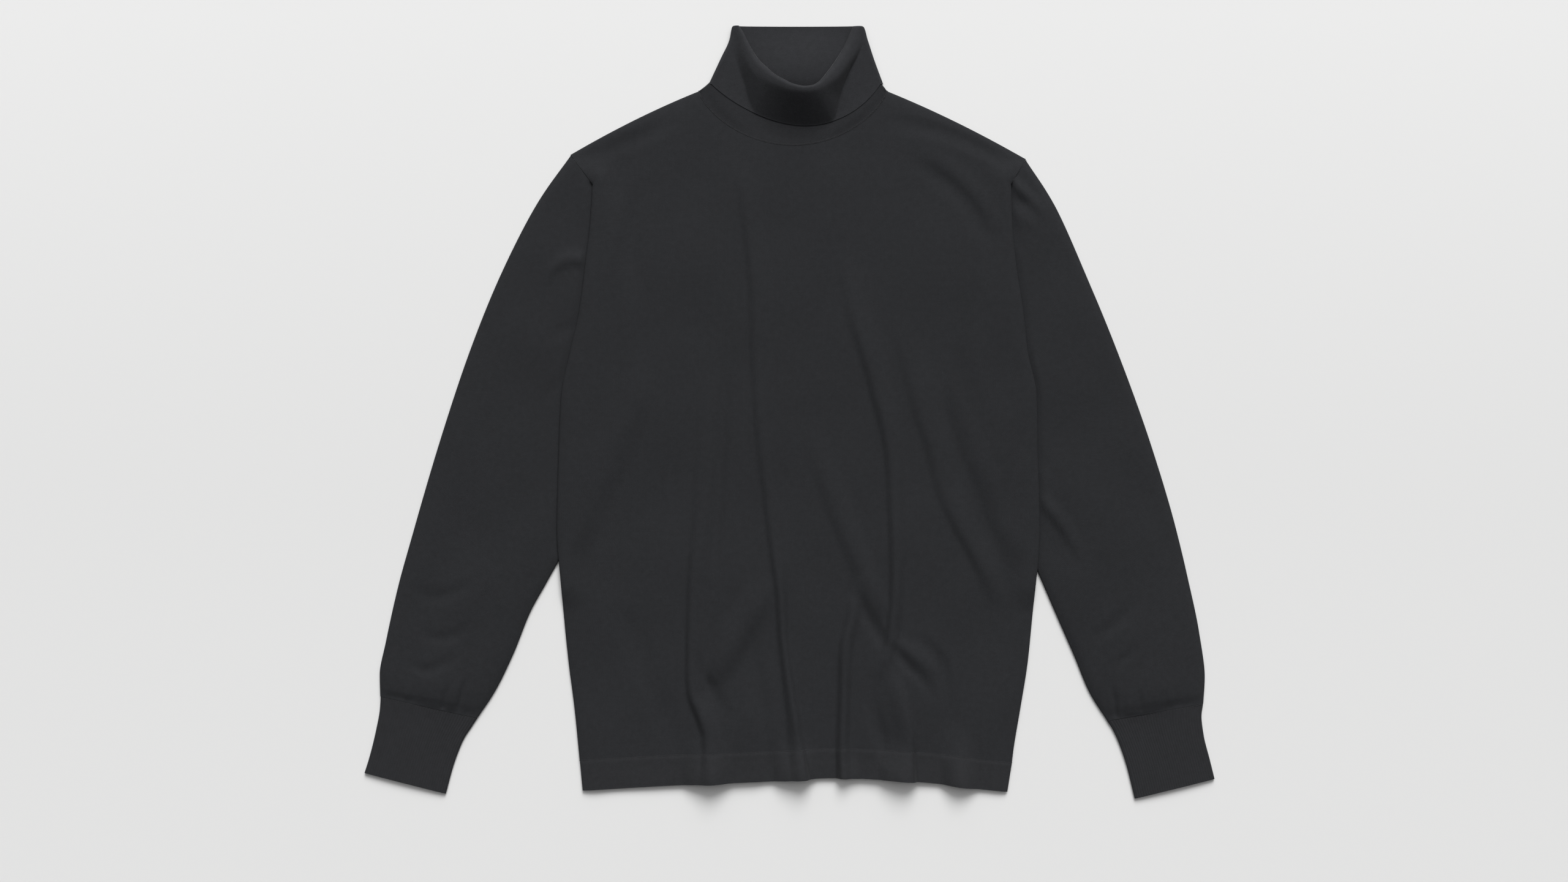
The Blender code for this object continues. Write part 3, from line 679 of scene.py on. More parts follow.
cuffLeftTable = mm * np.array([
    (-413.6, -289.0, -316.0, -311.1, 1.2),
    (-414.5, -302, -320.5, -318, 0.6),
    (-419, -326, -329, -331, 0.4),
    (-425, -350, -339, -356, 0.4),
    (-430, -366, -347.5, -387, 0.8),
])
cuffRightTable = mm * np.array([
    (418.3, -296.7, 321.2, -313.7, 1.2),
    (416.8, -309, 325.5, -320, 0.6),
    (419, -328, 331, -331, 0.4),
    (425, -352, 340, -356, 0.4),
    (430, -372, 349, -392, 0.8),
])
armhole = {
    "fade": 0.35, "bend": 0.0050, "cornerShare": 1.0 / 6.0,
    "air": 0.0016, "tightAir": 0.0004, "seamAir": 0.0012,
}
tubeEdge = sleeveRadius + 0.5 * fabric

leftSleeveCreases = [
    [(-204, 148, 3.0, 13, 4), (-216, 151, 3.5, 13, 3.5), (-227, 150, 3.3, 12, 3.5), (-236, 144, 2.2, 11, 4),
     (-243, 134, 0.8, 10, 4), (-248, 123, 0, 9, 5)],
    [(-210, 136, 0, 6, 6), (-211, 122, -0.8, 5, 6), (-214, 106, 0, 6, 6)],
    [(-210, 89, -0.8, 8, 8), (-230, 80, -1.1, 9, 8), (-249, 71, 0, 9, 8)],
    [(-223, 38, -0.5, 8, 8), (-241, 19, -0.7, 9, 9), (-254, -1, 0, 9, 9)],
    [(-383, -176, 0, 10, 10), (-364, -188, -1.1, 10, 10), (-342, -185, -1.2, 10, 10), (-318, -172, 0, 10, 10)],
    [(-375, -219, 0, 9, 9), (-358, -230, -1.3, 9, 9), (-337, -226, -1.2, 9, 9), (-318, -213, 0, 9, 9)],
    [(-386, -254, 0, 9, 9), (-368, -262, -1.2, 9, 9), (-350, -256, -1.0, 9, 9), (-335, -245, 0, 9, 9)],
    [(-323, -264, 0, 5, 5), (-329, -280, -1.4, 5, 5), (-333, -294, -1.8, 4, 4), (-335, -303, -0.6, 4, 4)],
    [(-343, -272, 0, 5, 5), (-348, -287, -1.2, 4, 5), (-350, -299, -1.2, 4, 4)],
    [(-339, -273, 0, 4, 4), (-340, -288, 1.0, 4, 4), (-342, -301, 0.5, 4, 4)],
    [(-383, -270, 0, 5, 5), (-385, -285, 0.8, 5, 5), (-388, -293, 0.3, 4, 4)],
]
rightSleeveCreases = [
    [(220, 231, 2.0, 4, 10), (231, 224, 3.0, 4, 10), (242, 214, 2.2, 5, 10), (254, 202, 1.0, 6, 10),
     (262, 189, 0, 6, 9)],
    [(224, 215, -2.2, 5, 5), (232, 211, -2.2, 5, 5), (242, 205, 0, 5, 6)],
    [(227, 199, 0.6, 6, 7), (239, 193, 1.6, 7, 8), (251, 183, 0, 8, 9)],
    [(228, 183, -1.4, 6, 8), (231, 170, -1.2, 6, 8), (235, 156, 0, 7, 8)],
    [(249, -87, 1.6, 5, 12), (262, -101, 2.6, 5, 13), (276, -118, 2.4, 6, 13), (287, -135, 1.4, 7, 12),
     (296, -149, 0, 7, 11)],
    [(250, -44, -0.8, 5, 6), (257, -53, -0.8, 6, 6), (268, -63, 0, 6, 6)],
    [(304, -232, 0, 9, 9), (322, -220, -1.3, 9, 9), (338, -205, -1.1, 9, 9), (349, -188, 0, 9, 9)],
    [(324, -260, 0, 8, 8), (339, -249, -0.9, 8, 8), (355, -235, 0, 8, 8)],
    [(324, -273, 0, 5, 5), (328, -291, -1.3, 5, 5), (330, -307, -1.4, 4, 4), (331, -313, -0.4, 4, 4)],
    [(340, -281, 0, 4, 5), (342, -294, 0.8, 4, 4), (342, -304, 0.5, 4, 4)],
    [(352, -278, 0, 5, 5), (354, -292, -0.8, 4, 4), (355, -302, -0.6, 4, 4)],
    [(383, -276, 0, 5, 5), (384, -288, 0.7, 5, 5), (385, -296, 0.3, 4, 4)],
]


def flatRing(flatCells, foldCells):
    flat = np.linspace(0, 1, flatCells + 1)
    turn = math.pi * np.arange(1, foldCells) / foldCells
    r = sleeveRadius
    shares = np.concatenate([flat, np.ones(foldCells - 1), 1 - flat, np.zeros(foldCells - 1)])
    past = np.concatenate([0 * flat, r * np.sin(turn), 0 * flat, -r * np.sin(turn)])
    height = np.concatenate([0 * flat + 2 * r, r * (1 + np.cos(turn)), 0 * flat, r * (1 - np.cos(turn))])
    upper = np.concatenate([0 * flat + 1, 0 * turn, 0 * flat, 0 * turn])
    return shares, past, height, upper


def unit(vector):
    return vector / np.linalg.norm(vector, axis=-1, keepdims=True)


def armholePoints(first, share):
    shoulder, underarm = first[:2], first[2:4]
    column = onLeft if shoulder[0] < 0 else onRight
    corner = np.array(sidePoint(column, np.array(cornerAlong)))
    away = unit(np.array([-(shoulder - corner)[1], (shoulder - corner)[0]]))
    if away[0] * shoulder[0] < 0:
        away = -away
    cornerShare = armhole["cornerShare"]
    edge = tubeEdge / np.linalg.norm(corner - shoulder)
    shown = mix(edge, 1.0, np.minimum(share / cornerShare, 1.0))[..., None]
    hidden = np.clip((share - cornerShare) / (1.0 - cornerShare), 0.0, 1.0)[..., None]
    bend = unit(np.array([-(underarm - corner)[1], (underarm - corner)[0]]))
    if bend[0] * shoulder[0] > 0:
        bend = -bend
    first = mix(shoulder, corner, shown) + away * seamGap
    second = mix(corner, underarm, hidden) + bend * armhole["bend"] * bowl(hidden, 1) + away * seamGap
    return np.where((share <= cornerShare)[..., None], first, second)


def outsideBody(x, y):
    return np.maximum(sideX(onLeft, y) - x, x - sideX(onRight, y))


def tubePoints(table, rowShares, ring, creases=(), atArmhole=False):
    shares, past, height, upper = ring
    outer, inner = (np.stack([alongTable(table, i, rowShares) for i in pair], -1) for pair in ((0, 1), (2, 3)))
    puff = alongTable(table, 4, rowShares)[:, None]
    edge = unit(inner - outer)
    outer = outer + edge * tubeEdge
    inner = inner - edge * tubeEdge
    plan = mix(outer[:, None], inner[:, None], shares[None, :, None]) + edge[:, None] * past[None, :, None]
    if atArmhole:
        bend = (1.0 - ease(rowShares / armhole["fade"]))[:, None, None]
        straight = mix(outer[0], inner[0], shares[:, None])
        plan = plan + (armholePoints(table[0], shares) - straight)[None] * bend
    x, y = plan[..., 0], plan[..., 1]
    width = np.linalg.norm(inner - outer, axis=-1)[:, None]
    fromEdge = np.minimum(shares, 1 - shares)[None] * width
    air = armhole["tightAir"]
    slack, shown = 0.0, 1.0
    if atArmhole:
        # the sleeve is full where it shows, and flat where the body lies on it
        share = rowShares[:, None]
        shown = np.maximum(ease((outsideBody(x, y) - 0.0005) / 0.005), ease((y - cornerY) / 0.003))
        air = mix(armhole["air"], armhole["tightAir"], ease((share - 0.95) / 0.045))
        air = air + armhole["seamAir"] * (1 - ease(share / 0.08))
        slack = creaseHeights(x, y, creases) + waveHeights(x, y, sleeveWaves) * ease(fromEdge / 0.030)
        slack = slack * rounding(fromEdge, 0.012) * (1 - ease((share - 0.985) / 0.015) * 0.6)
    stands = puff * bowl(shares, 1.1)[None] + air * rounding(fromEdge, 0.011)
    raised = np.maximum(stands + slack, -0.0010) * shown
    z = 0.5 * fabric + height[None] + raised * upper[None]
    return np.stack([x, y, z], -1)


def tubeUv(points, rowShares, length):
    cells = np.linalg.norm(np.diff(points, axis=1, append=points[:, :1]), axis=-1)
    around = np.concatenate([[0], np.cumsum(cells[len(points) // 2])])
    return np.stack(np.broadcast_arrays(around[None, :], -rowShares[:, None] * length), -1)


# rows closer together where the sleeve gathers into its cuff
sleeveRows = np.concatenate([np.linspace(0, 0.80, 88, endpoint=False), np.linspace(0.80, 1, 47)])
sleeveRows = bordered(sleeveRows, 0.0006)


def makeSleeve(name, table, creases):
    ring = flatRing(50, 6)
    points = tubePoints(table, sleeveRows, ring, creases, atArmhole=True)
    uv = tubeUv(points, sleeveRows, 0.56)
    piece = gridPiece(name, points, uv, closed=True, flip=table[0, 0] < 0)
    return giveFabric(piece, bodyWool), points


sleeveLeft, leftPoints = makeSleeve("sleeveLeft", sleeveLeftTable, leftSleeveCreases)
sleeveRight, rightPoints = makeSleeve("sleeveRight", sleeveRightTable, rightSleeveCreases)
print("sleeves", len(sleeveLeft.data.polygons) * 4, "triangles each")


# Ribs and linking stitches are Geometry Nodes trees


def runTree(piece, tree, values):
    modifier = piece.modifiers.new("tree", "NODES")
    modifier.node_group = tree
    for item in tree.interface.items_tree:
        if item.item_type == "SOCKET" and item.in_out == "INPUT" and item.name in values:
            modifier[item.identifier] = values[item.name]
    depsgraph = bpy.context.evaluated_depsgraph_get()
    made = bpy.data.meshes.new_from_object(piece.evaluated_get(depsgraph), depsgraph=depsgraph)
    piece.modifiers.remove(modifier)
    piece.data = made
    made.shade_smooth()
    return piece


def newTree(name, inputs):
    inputs = [("Geometry", "Geometry", None)] + inputs
    return newGroup(name, "GeometryNodeTree", inputs, [("Geometry", "Geometry")])


def endTree(tree, geometry, yarn, result):
    whole = addNode(tree, "GeometryNodeRealizeInstances", {0: geometry})
    painted = addNode(tree, "GeometryNodeSetMaterial", {"Geometry": whole, "Material": yarn})
    tree.links.new(painted, result["Geometry"])
    return tree


def makeRibTree():
    tree, given, result = newTree(
        "ribbing", [("Pitch", "Float", 0.0026), ("Depth", "Float", 0.0002), ("Yarn", "Material", None)])
    girth = addNode(tree, "GeometryNodeInputNamedAttribute", {"Name": "girth"}, data_type="FLOAT")
    turns = mathNode(tree, "MULTIPLY", mathNode(tree, "DIVIDE", girth, given["Pitch"]), 2 * math.pi)
    wave = mathNode(tree, "SMOOTH_MIN", mathNode(tree, "COSINE", turns), 0.35, 0.5)
    crest = mathNode(tree, "MULTIPLY", mathNode(tree, "SUBTRACT", wave, 0.35), given["Depth"])
    offset = scaledVector(tree, addNode(tree, "GeometryNodeInputNormal", {}), crest)
    moved = addNode(tree, "GeometryNodeSetPosition", {"Geometry": given["Geometry"], "Offset": offset})
    return endTree(tree, moved, given["Yarn"], result)


ribTree = makeRibTree()
cuffForm = {
    "pitch": 0.0026, "depth": 0.00016, "length": 0.08,
    "rowCount": 26, "aroundCount": 292, "rimShare": 0.004,
}


def makeCuff(name, table):
    rowShares = bordered(np.linspace(0, 1, cuffForm["rowCount"] + 1), cuffForm["rimShare"])
    points = tubePoints(table, rowShares, flatRing(cuffForm["aroundCount"], 6))
    uv = tubeUv(points, rowShares, cuffForm["length"])
    whole = uv[0, -1, 0]
    pitch = cuffForm["pitch"]
    piece = gridPiece(name, points, uv, closed=True, flip=table[0, 0] < 0)
    # a whole number of ribs round the cuff
    around = np.broadcast_to(uv[:1, :-1, 0] * round(whole / pitch) * pitch / whole, points.shape[:2])
    attribute = piece.data.attributes.new("girth", "FLOAT", "POINT")
    attribute.data.foreach_set("value", around.astype(np.float32).ravel())
    runTree(piece, ribTree, {"Pitch": pitch, "Depth": cuffForm["depth"], "Yarn": cuffWool})
    return giveFabric(piece, cuffWool), points


cuffLeft, cuffLeftPoints = makeCuff("cuffLeft", cuffLeftTable)
cuffRight, cuffRightPoints = makeCuff("cuffRight", cuffRightTable)
print("cuffs", len(cuffLeft.data.polygons) * 4, "triangles each")


# Collar: one tube of fabric, up the inner layer, over the roll and down the outer layer.
# rollEdge is the roll's inner edge seen from above. The paths are the outlines of the two layers at the
# sides, from the seam to the roll and from the roll to the free edge.

rollEdge = mm * np.array([
    (-53.1, 388.2), (-47.9, 381.2), (-42.8, 372.2), (-36.8, 361.4), (-30.8, 352.6), (-22.1, 343.6),
    (-15.3, 337.4), (-5.0, 331.1), (3.7, 326.7), (14.9, 324.4), (22.7, 325.5), (29.6, 329.5),
    (38.2, 340.2), (46.7, 353.6), (52.8, 365.2), (60.6, 383.9),
])
# How far the rounded top of the roll reaches from that edge, and where the slope under it ends on the way
# to the free edge, both by thousandths of the way from the viewer's right to the left
rollReach = mm * np.array([
    (0, 18.0), (45, 19.0), (95, 17.3), (145, 15.0), (198, 11.6), (247, 7.6), (297, 6.0), (380, 5.5),
    (478, 6.4), (573, 8.2), (665, 9.7), (768, 13.0), (833, 15.4), (880, 16.4), (948, 16.8), (1000, 15.5),
])
footReach = np.array([
    (0, 345), (35, 368), (88, 365), (133, 405), (203, 590), (270, 930), (300, 1000), (730, 1000),
    (780, 850), (843, 600), (932, 480), (1000, 420),
]) / 1000
innerShare = (0.0, 0.12, 0.22, 0.52, 0.80, 1.0)
innerPaths = {
    "right": mm * np.array([(98.2, 323.1), (93.6, 329), (90, 334.5), (81, 356), (72.5, 375), (66, 387.6)]),
    "left": mm * np.array([
        (-91.2, 323.1), (-83.4, 329), (-78, 334.5), (-66.5, 356), (-58, 375), (-53.5, 388.4)]),
}
outerShare = (0.0, 0.16, 0.35, 0.65, 1.0)
outerPaths = {
    "right": mm * np.array([(66, 387.6), (73.8, 387.8), (78.4, 375), (84.6, 356), (94.2, 330)]),
    "left": mm * np.array([(-53.5, 388.4), (-57.2, 388.0), (-60.2, 375), (-69.0, 356), (-81.2, 330)]),
}
backInnerY = (0.3177, 0.3260, 0.3350, 0.3580, 0.3770, 0.3874)
backInnerZ = (0.0006, 0.0018, 0.0026, 0.0026, 0.0026, 0.0026)
backOuterY = (0.3874, 0.3865, 0.3770, 0.3580, 0.3370)
backOuterZ = (0.5 * fabric,) * 5
collarCells = {"front": 150, "back": 60, "fold": 8, "inner": 40, "roll": 14, "outer": 44}
collarForm = {
    "freeEdge": (0.3300, 0.2883, 0.95), "seam": (0.3231, 0.2687, 0.73), "skew": 0.055,
    "innerHigh": 0.0048, "outerHigh": 0.0068, "edgeHigh": 0.0055,
    "crestSide": 0.0084, "crestRise": 0.0256, "crestCurve": 1.2, "rollDrop": (0.0034, 0.0022),
    "crown": 0.12, "rounded": 0.0035, "turned": 0.0022, "soft": 0.0008,
    "rollShare": 0.16, "rimShare": 0.005, "backHump": 0.0056, "backRoll": 0.001,
}


def sideways(share, side, width):
    # 1 at one side of the collar, falling to 0 inwards over a width
    return np.clip(1.0 - np.abs(share - side) / width, 0.0, 1.0) ** 2


def lopsided(share):
    # the collar hangs lowest a little to the viewer's right of its middle
    return share + collarForm["skew"] * bowl(share, 1)


def lofted(start, end, paths, shares, share, along):
    # rows between two curves, with each side drawn out to its own outline
    x = mix(start[0], end[0], along)
    y = mix(start[1], end[1], along)
    for side, at in (("right", 0), ("left", -1)):
        path = paths[side]
        pathX, pathY = (smoothCurve(shares, path[:, i], along) for i in (0, 1))
        weight = sideways(share, 0.0 if side == "right" else 1.0, 0.3)
        x = x + (pathX - mix(start[0][at], end[0][at], along)) * weight
        y = y + (pathY - mix(start[1][at], end[1][at], along)) * weight
    return x, y


def collarCurves(share):
    lower = bowl(lopsided(share), collarForm["freeEdge"][2])
    edgeX = mix(outerPaths["right"][-1, 0], outerPaths["left"][-1, 0], share)
    edgeY = mix(collarForm["freeEdge"][0], collarForm["freeEdge"][1], lower)
    seamX = mix(innerPaths["right"][0, 0], innerPaths["left"][0, 0], share)
    seamY = mix(collarForm["seam"][0], collarForm["seam"][1], bowl(share, collarForm["seam"][2]))
    rollX = mix(rollEdge[-1, 0], rollEdge[0, 0], share)
    rollY = smoothCurve(rollEdge[:, 0], rollEdge[:, 1], rollX)
    return (seamX, seamY), (rollX, rollY), (edgeX, edgeY)


def crestHeights(share):
    full = bowl(share + collarForm["skew"] * 1.2 * bowl(share, 1), collarForm["crestCurve"])
    crest = collarForm["crestSide"] + collarForm["crestRise"] * full
    return crest, collarForm["rollDrop"][0] + collarForm["rollDrop"][1] * full


def hinge(past, width):
    # 0 before a bend and the distance past it, rounded over the bend's width
    return 0.5 * (past + np.hypot(past, width))


def frontOuter(share, down):
    roll, edge = collarCurves(share)[1:]
    x, y = lofted(roll, edge, outerPaths, outerShare, share, down)
    length = np.hypot(edge[0] - roll[0], edge[1] - roll[1])
    crest, drop = crestHeights(share)
    reach = smoothCurve(rollReach[:, 0], rollReach[:, 1], share)
    foot = smoothCurve(footReach[:, 0], footReach[:, 1], share) * length
    top = 0.5 * reach
    passed = down * length
    inside = np.clip(1.0 - passed / top, 0.0, 1.0)
    flat = mix(collarForm["outerHigh"], collarForm["edgeHigh"], ease((down - 0.5) / 0.5)) + 0 * share
    footHigh = mix(collarForm["outerHigh"], collarForm["edgeHigh"], ease((foot / length - 0.5) / 0.5))
    crown, rounded, turned = collarForm["crown"], collarForm["rounded"], collarForm["turned"]
    steep = (crest - footHigh - crown * hinge(foot - top, rounded)) / hinge(foot - reach, turned)
    fall = crown * hinge(passed - top, rounded) + steep * hinge(passed - reach, turned)
    above = crest - drop * (1 - np.sqrt(1 - inside**2)) - fall - flat
    return np.stack([x, y, flat + hinge(above, collarForm["soft"])], -1)


def frontInner(share, up):
    seam, roll, edge = collarCurves(share)
    x, y = lofted(seam, roll, innerPaths, innerShare, share, up)
    crest, drop = crestHeights(share)
    length = np.hypot(seam[0] - roll[0], seam[1] - roll[1])
    away = (1 - up) * length
    outerLength = np.hypot(edge[0] - roll[0], edge[1] - roll[1])
    reach = smoothCurve(footReach[:, 0], footReach[:, 1], share) * outerLength
    rising = np.clip(1 - away / reach, 0.0, 1.0) ** 1.1
    atSeam = np.interp(x, frontRim[:, 0], frontRim[:, 2]) + linkGap
    level = mix(atSeam, collarForm["innerHigh"], ease(up / 0.15))
    return np.stack([x, y, level + (crest - drop - collarForm["innerHigh"]) * rising], -1)


def backLayer(share, along, paths, shares, yTable, zTable, hump):
    right, left = (smoothCurve(shares, paths[side][:, 0], along) for side in ("right", "left"))
    sideY = smoothCurve(shares, paths["right"][:, 1], along)
    middleY = smoothCurve(shares, yTable, along)
    z = smoothCurve(shares, zTable, along) + hump * bowl(share, 1.2) * np.sin(math.pi * along**0.65) ** 1.5
    return np.stack([mix(right, left, share), mix(sideY, middleY, bowl(share, 0.6)), z], -1)


def drawnIn(line, spread):
    # the two ends of a row move in by the radius of the fold that joins its layers
    shares = np.linspace(0, 1, len(line))[:, None]
    inwards = spread[1] * sideways(shares, 1, 0.2) - spread[0] * sideways(shares, 0, 0.2)
    return line + inwards * np.array([[1.0, 0.0, 0.0]])


def closeRow(front, back):
    # one ring: the front layer, a folded edge, the back layer and the other folded edge
    spread = 0.5 * (front[[0, -1], 2] - back[[0, -1], 2])
    front, back = drawnIn(front, spread), drawnIn(back, spread)
    turn = (math.pi * np.arange(1, collarCells["fold"]) / collarCells["fold"])[:, None]
    folds = []
    for a, b, way in ((front[-1], back[-1], -1.0), (back[0], front[0], 1.0)):
        middle, half = (a + b) / 2, (a - b) / 2
        folds.append(middle + half * np.cos(turn) + np.array([way * abs(half[2]), 0, 0]) * np.sin(turn))
    return np.concatenate([front, folds[0], back[::-1], folds[1]])


def makeCollar():
    shares = np.linspace(0, 1, collarCells["front"] + 1)
    backShares = np.linspace(0, 1, collarCells["back"] + 1)
    rollShare, rimShare, steps = collarForm["rollShare"], collarForm["rimShare"], collarCells["roll"]

    def innerBack(up, hump):
        return backLayer(backShares, up, innerPaths, innerShare, backInnerY, backInnerZ, hump)

    def outerBack(down):
        return backLayer(backShares, down, outerPaths, outerShare, backOuterY, backOuterZ, 0.0)

    rows = []
    for up in np.insert(np.linspace(0, 1, collarCells["inner"] + 1), 1, rimShare):
        rows.append(closeRow(frontInner(shares, up), innerBack(up, collarForm["backHump"])))
    for k in range(1, steps):
        turn = math.pi * k / steps
        back = mix(innerBack(1.0, 0.0), outerBack(rollShare), 0.5 - 0.5 * math.cos(turn))
        back = back + np.array([0, collarForm["backRoll"], 0]) * math.sin(turn)
        rows.append(closeRow(frontOuter(shares, rollShare * k / steps), back))
    for down in np.insert(np.linspace(rollShare, 1, collarCells["outer"] + 1), -1, 1 - rimShare):
        rows.append(closeRow(frontOuter(shares, down), outerBack(down)))
    points = np.stack(rows)
    lengths = np.linalg.norm(np.diff(points, axis=0), axis=-1).mean(1)
    around = np.linalg.norm(np.diff(points[0], axis=0, append=points[0][:1]), axis=-1)
    u, v = (np.concatenate([[0], np.cumsum(cells)]) for cells in (around, lengths))
    uv = np.stack(np.broadcast_arrays(u[None, :], v[:, None]), -1)
    piece = gridPiece("turtleneckCollar", points, uv, closed=True)
    # the lower inside of the front stays darker than the rest
    purl = np.ones(points.shape[:2])
    purl[:collarCells["inner"] // 2, :collarCells["front"] + 1] = 0.0
    mask = piece.data.attributes.new("purl", "FLOAT", "POINT")
    mask.data.foreach_set("value", purl.astype(np.float32).ravel())
    return giveFabric(piece, collarWool)


collar = makeCollar()
print("collar", len(collar.data.polygons) * 4, "triangles")


# Linking stitches along each seam


def makeLinkTree():
    # pairs of small beads, slanted against each other, laid along a path
    tree, given, result = newTree(
        "linking", [("Spacing", "Float", 0.0016), ("Length", "Float", 0.0011), ("Width", "Float", 0.0005),
                    ("Seed", "Int", 3), ("Yarn", "Material", None)])
    bead = addNode(tree, "GeometryNodeMeshIcoSphere", {"Radius": 1.0, "Subdivisions": 1})
    size = addNode(tree, "ShaderNodeCombineXYZ", {0: given["Length"], 1: given["Width"], 2: given["Width"]})
    both = tree.nodes.new("GeometryNodeJoinGeometry")
    for aside in (-1, 1):
        apart = mathNode(tree, "MULTIPLY", given["Width"], 0.8 * aside)
        place = addNode(tree, "ShaderNodeCombineXYZ", {1: apart})
        pose = {"Geometry": bead, "Scale": size, "Rotation": (0.0, 0.0, aside * 0.5), "Translation": place}
        tree.links.new(addNode(tree, "GeometryNodeTransform", pose), both.inputs[0])
    curve = addNode(tree, "GeometryNodeMeshToCurve", {"Mesh": given["Geometry"]})
    spaced = addNode(
        tree, "GeometryNodeResampleCurve", {"Curve": curve, "Length": given["Spacing"]}, mode="LENGTH")
    tangent = addNode(tree, "GeometryNodeInputTangent", {})
    turn = addNode(tree, "FunctionNodeAlignRotationToVector", {"Vector": tangent}, axis="X")
    spread = {0: (0.9, 0.9, 0.85), 1: (1.1, 1.1, 1.15), "Seed": given["Seed"]}
    varied = addNode(tree, "FunctionNodeRandomValue", spread, data_type="FLOAT_VECTOR")
    laid = {"Points": spaced, "Instance": both.outputs[0], "Rotation": turn, "Scale": varied}
    return endTree(tree, addNode(tree, "GeometryNodeInstanceOnPoints", laid), given["Yarn"], result)


linkTree = makeLinkTree()
stitch = {"spacing": 0.0014, "length": 0.0013, "seed": 3}
seams = []


def makeSeam(name, paths, slot, width):
    points, edges = [], []
    for path in paths:
        start = len(points)
        above = path.copy()
        above[:, 2] = np.maximum(above[:, 2], 1.5 * width)
        points += above.tolist()
        edges += [(start + i, start + i + 1) for i in range(len(path) - 1)]
    mesh = bpy.data.meshes.new(name)
    mesh.from_pydata(points, edges, [])
    piece = placed(name, mesh)
    runTree(piece, linkTree, {"Spacing": stitch["spacing"], "Length": stitch["length"], "Width": width,
                              "Seed": stitch["seed"], "Yarn": seamWool})
    seams.append((piece, slot))


def moved(path, x, y, z):
    return path + np.array([x, y, z])


def atNeck(columns):
    return (columns >= neckStart - 1e-6) & (columns <= neckEnd + 1e-6)


neckFront = frontRim[atNeck(columns)]
neckBack = backPoints[-1][atNeck(backColumns)]
shoulders = [frontRim[columns <= neckStart + 1e-6], frontRim[columns >= neckEnd - 1e-6]]
makeSeam("neckSeam", [moved(neckFront, 0, 0.0002, 0.00045), moved(neckBack, 0, 0, 0.0001)],
         "collar_knit", 0.0005)
makeSeam("shoulderSeam", [moved(path, 0, -0.0012, -0.00085) for path in shoulders], "body_knit", 0.0004)
makeSeam("sideSeam", [moved(frontSides[0], 0.0016, 0, -0.0011), moved(frontSides[1], -0.0016, 0, -0.0011)],
         "body_knit", 0.0003)
makeSeam("hemSeam", [moved(frontFoot, 0, -0.0001, 0.0004)], "hem_knit", 0.00045)


def cuffPath(cuffPoints, sleevePoints):
    # midway between the sleeve's last row and the nearest points of the cuff's first
    last = sleevePoints[-1]
    nearest = [cuffPoints[0][np.argmin(np.linalg.norm(cuffPoints[0] - point, axis=-1))] for point in last]
    middle = (last + np.array(nearest)) / 2
    return np.vstack([middle, middle[:1]])


def armholePath(sleevePoints, side):
    # the stretch between the shoulder's tip and the corner, which is the only one that shows
    path = sleevePoints[0][1:9].copy()
    path[:, 2] = 0.5 * (path[:, 2] + np.interp(path[:, 1], side[:, 1], side[:, 2]))
    return path


makeSeam("cuffSeams", [cuffPath(cuffLeftPoints, leftPoints), cuffPath(cuffRightPoints, rightPoints)],
         "cuff_rib", 0.0005)
makeSeam("armholeSeams", [armholePath(leftPoints, frontSides[0]), armholePath(rightPoints, frontSides[1])],
         "body_knit", 0.0004)
print("seams", sum(len(piece.data.polygons) for piece, _ in seams), "triangles")


# What each piece stands for, rides on and is cut from

# piece, its CAD node and slot, width and length of its cut, area of its cut, and what it lies on
cloths = [
    (frontPanel, "front", "body_knit", (0.490, 0.685), 0.299, ["backPanel", "sleeveLeft", "sleeveRight"]),
    (backPanel, "back", "body_knit", (0.490, 0.685), 0.301, []),
    (sleeveLeft, "sleeve_left", "body_knit", (0.490, 0.560), 0.149, []),
    (sleeveRight, "sleeve_right", "body_knit", (0.490, 0.560), 0.142, []),
    (cuffLeft, "cuff_left", "cuff_rib", (0.200, 0.076), 0.0143, []),
    (cuffRight, "cuff_right", "cuff_rib", (0.200, 0.076), 0.0143, []),
    (collar, "collar", "collar_knit", (0.380, 0.190), 0.0437, ["frontPanel", "backPanel"]),
    (hemBandFront, "hem_band_front", "hem_knit", (0.436, 0.032), 0.0139, ["hemBandBack"]),
    (hemBandBack, "hem_band_back", "hem_knit", (0.436, 0.032), 0.0139, []),
]
for piece, node, slot, flat, area, under in cloths:
    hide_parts(node)
    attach(piece, "root")
for piece, slot in seams:
    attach(piece, "root")


# Floor, light and camera

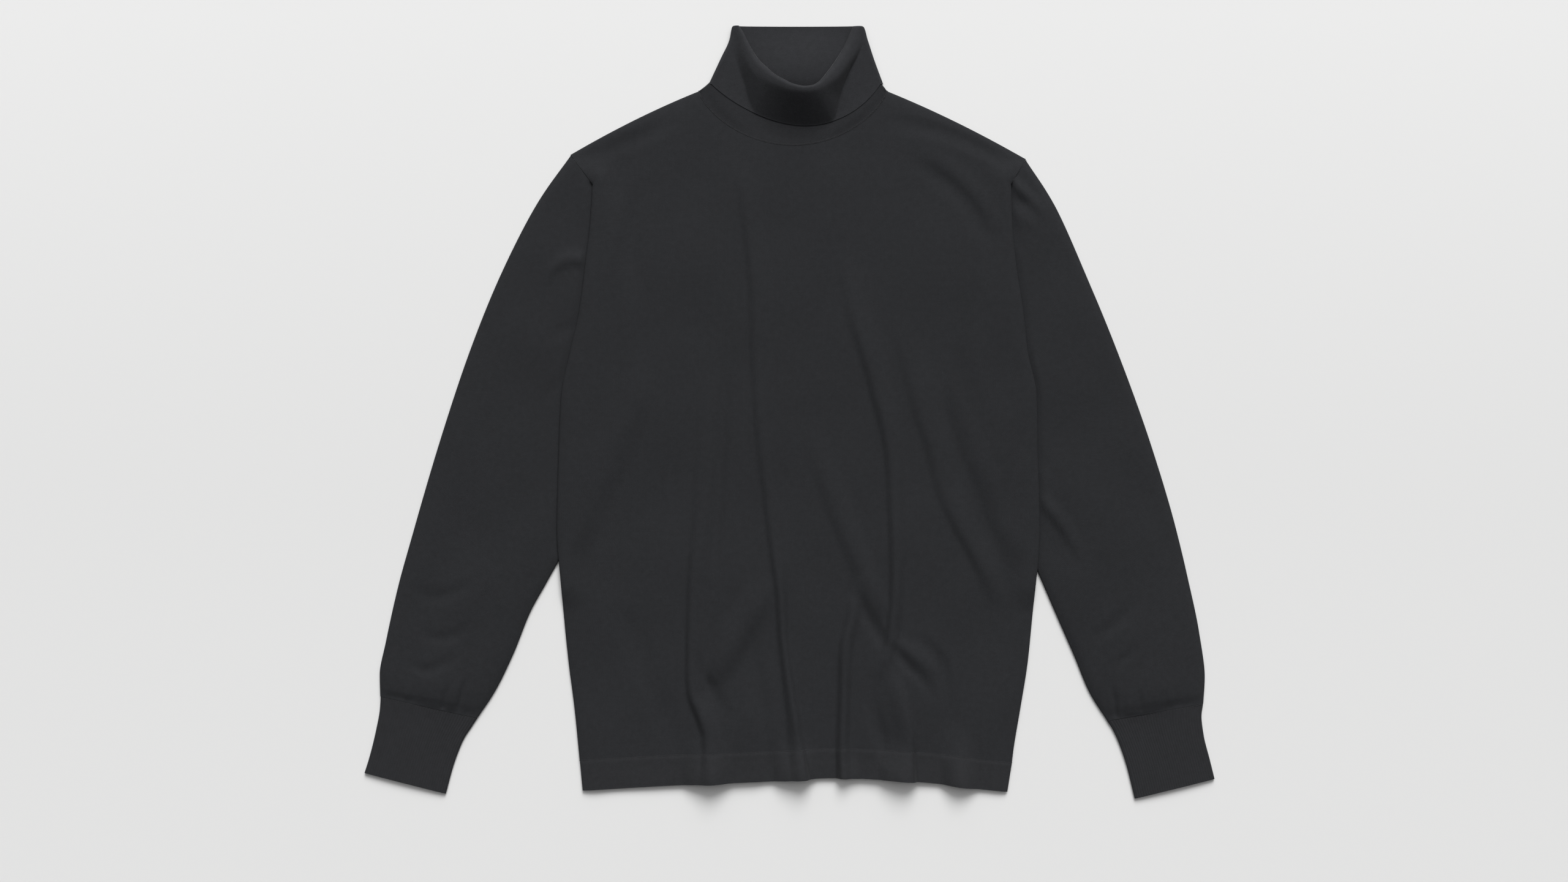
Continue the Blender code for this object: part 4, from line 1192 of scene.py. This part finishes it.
studio = {
    "floorReach": 4.0, "floorDrop": 0.0002, "paper": (0.80, 0.80, 0.797), "paperPaintedFalloff": (-0.10, 0.50, 0.097),
    "world": 0.09, "cameraAt": (-0.0056, -0.0304, 2.4), "shownWidth": 1.5872,
}
floorCorners = ((-1, -1), (1, -1), (1, 1), (-1, 1))
corners = [(studio["floorReach"] * x, studio["floorReach"] * y, -studio["floorDrop"]) for x, y in floorCorners]
floorMesh = bpy.data.meshes.new("floor")
floorMesh.from_pydata(corners, [], [(0, 1, 2, 3)])
paper = bpy.data.materials.new("paper")
paper.use_nodes = True
tree = paper.node_tree
paperShader = tree.nodes["Principled BSDF"].inputs
paperShader["Roughness"].default_value = 0.95
paperShader["Specular IOR Level"].default_value = 0.0
# painted light: the paper is made up to a tenth lighter towards the top of the table, standing in for the
# light falling off across it
paperPaintedLight = addPaintedLight(tree, tree.nodes.new("ShaderNodeTexCoord").outputs["Object"], *studio["paperPaintedFalloff"])
tree.links.new(scaledVector(tree, studio["paper"], paperPaintedLight), paperShader["Base Color"])
floorMesh.materials.append(paper)
placed("floor", floorMesh)

world = bpy.data.worlds.new("studio")
world.use_nodes = True
sky = world.node_tree.nodes["Background"].inputs
sky["Color"].default_value = (1.0, 1.0, 1.0, 1.0)
sky["Strength"].default_value = studio["world"]
bpy.context.scene.world = world

# name, strength, width of the sun in degrees, and how far it is tilted and turned
suns = [("key", 2.55, 34, -51, -8), ("fill", 1.38, 90, -36, -4)]
for name, strength, width, tilt, turn in suns:
    light = bpy.data.lights.new(name, "SUN")
    light.energy = strength
    light.angle = math.radians(width)
    placed(name, light).rotation_euler = (math.radians(tilt), 0.0, math.radians(turn))

cameraData = bpy.data.cameras.new("camera")
cameraData.type = "PERSP"
cameraData.sensor_width = 36.0
cameraData.lens = cameraData.sensor_width * studio["cameraAt"][2] / studio["shownWidth"]
camera = placed("camera", cameraData)
camera.location = studio["cameraAt"]
bpy.context.scene.camera = camera
bpy.context.scene.view_settings.view_transform = "Standard"
print("stage made")
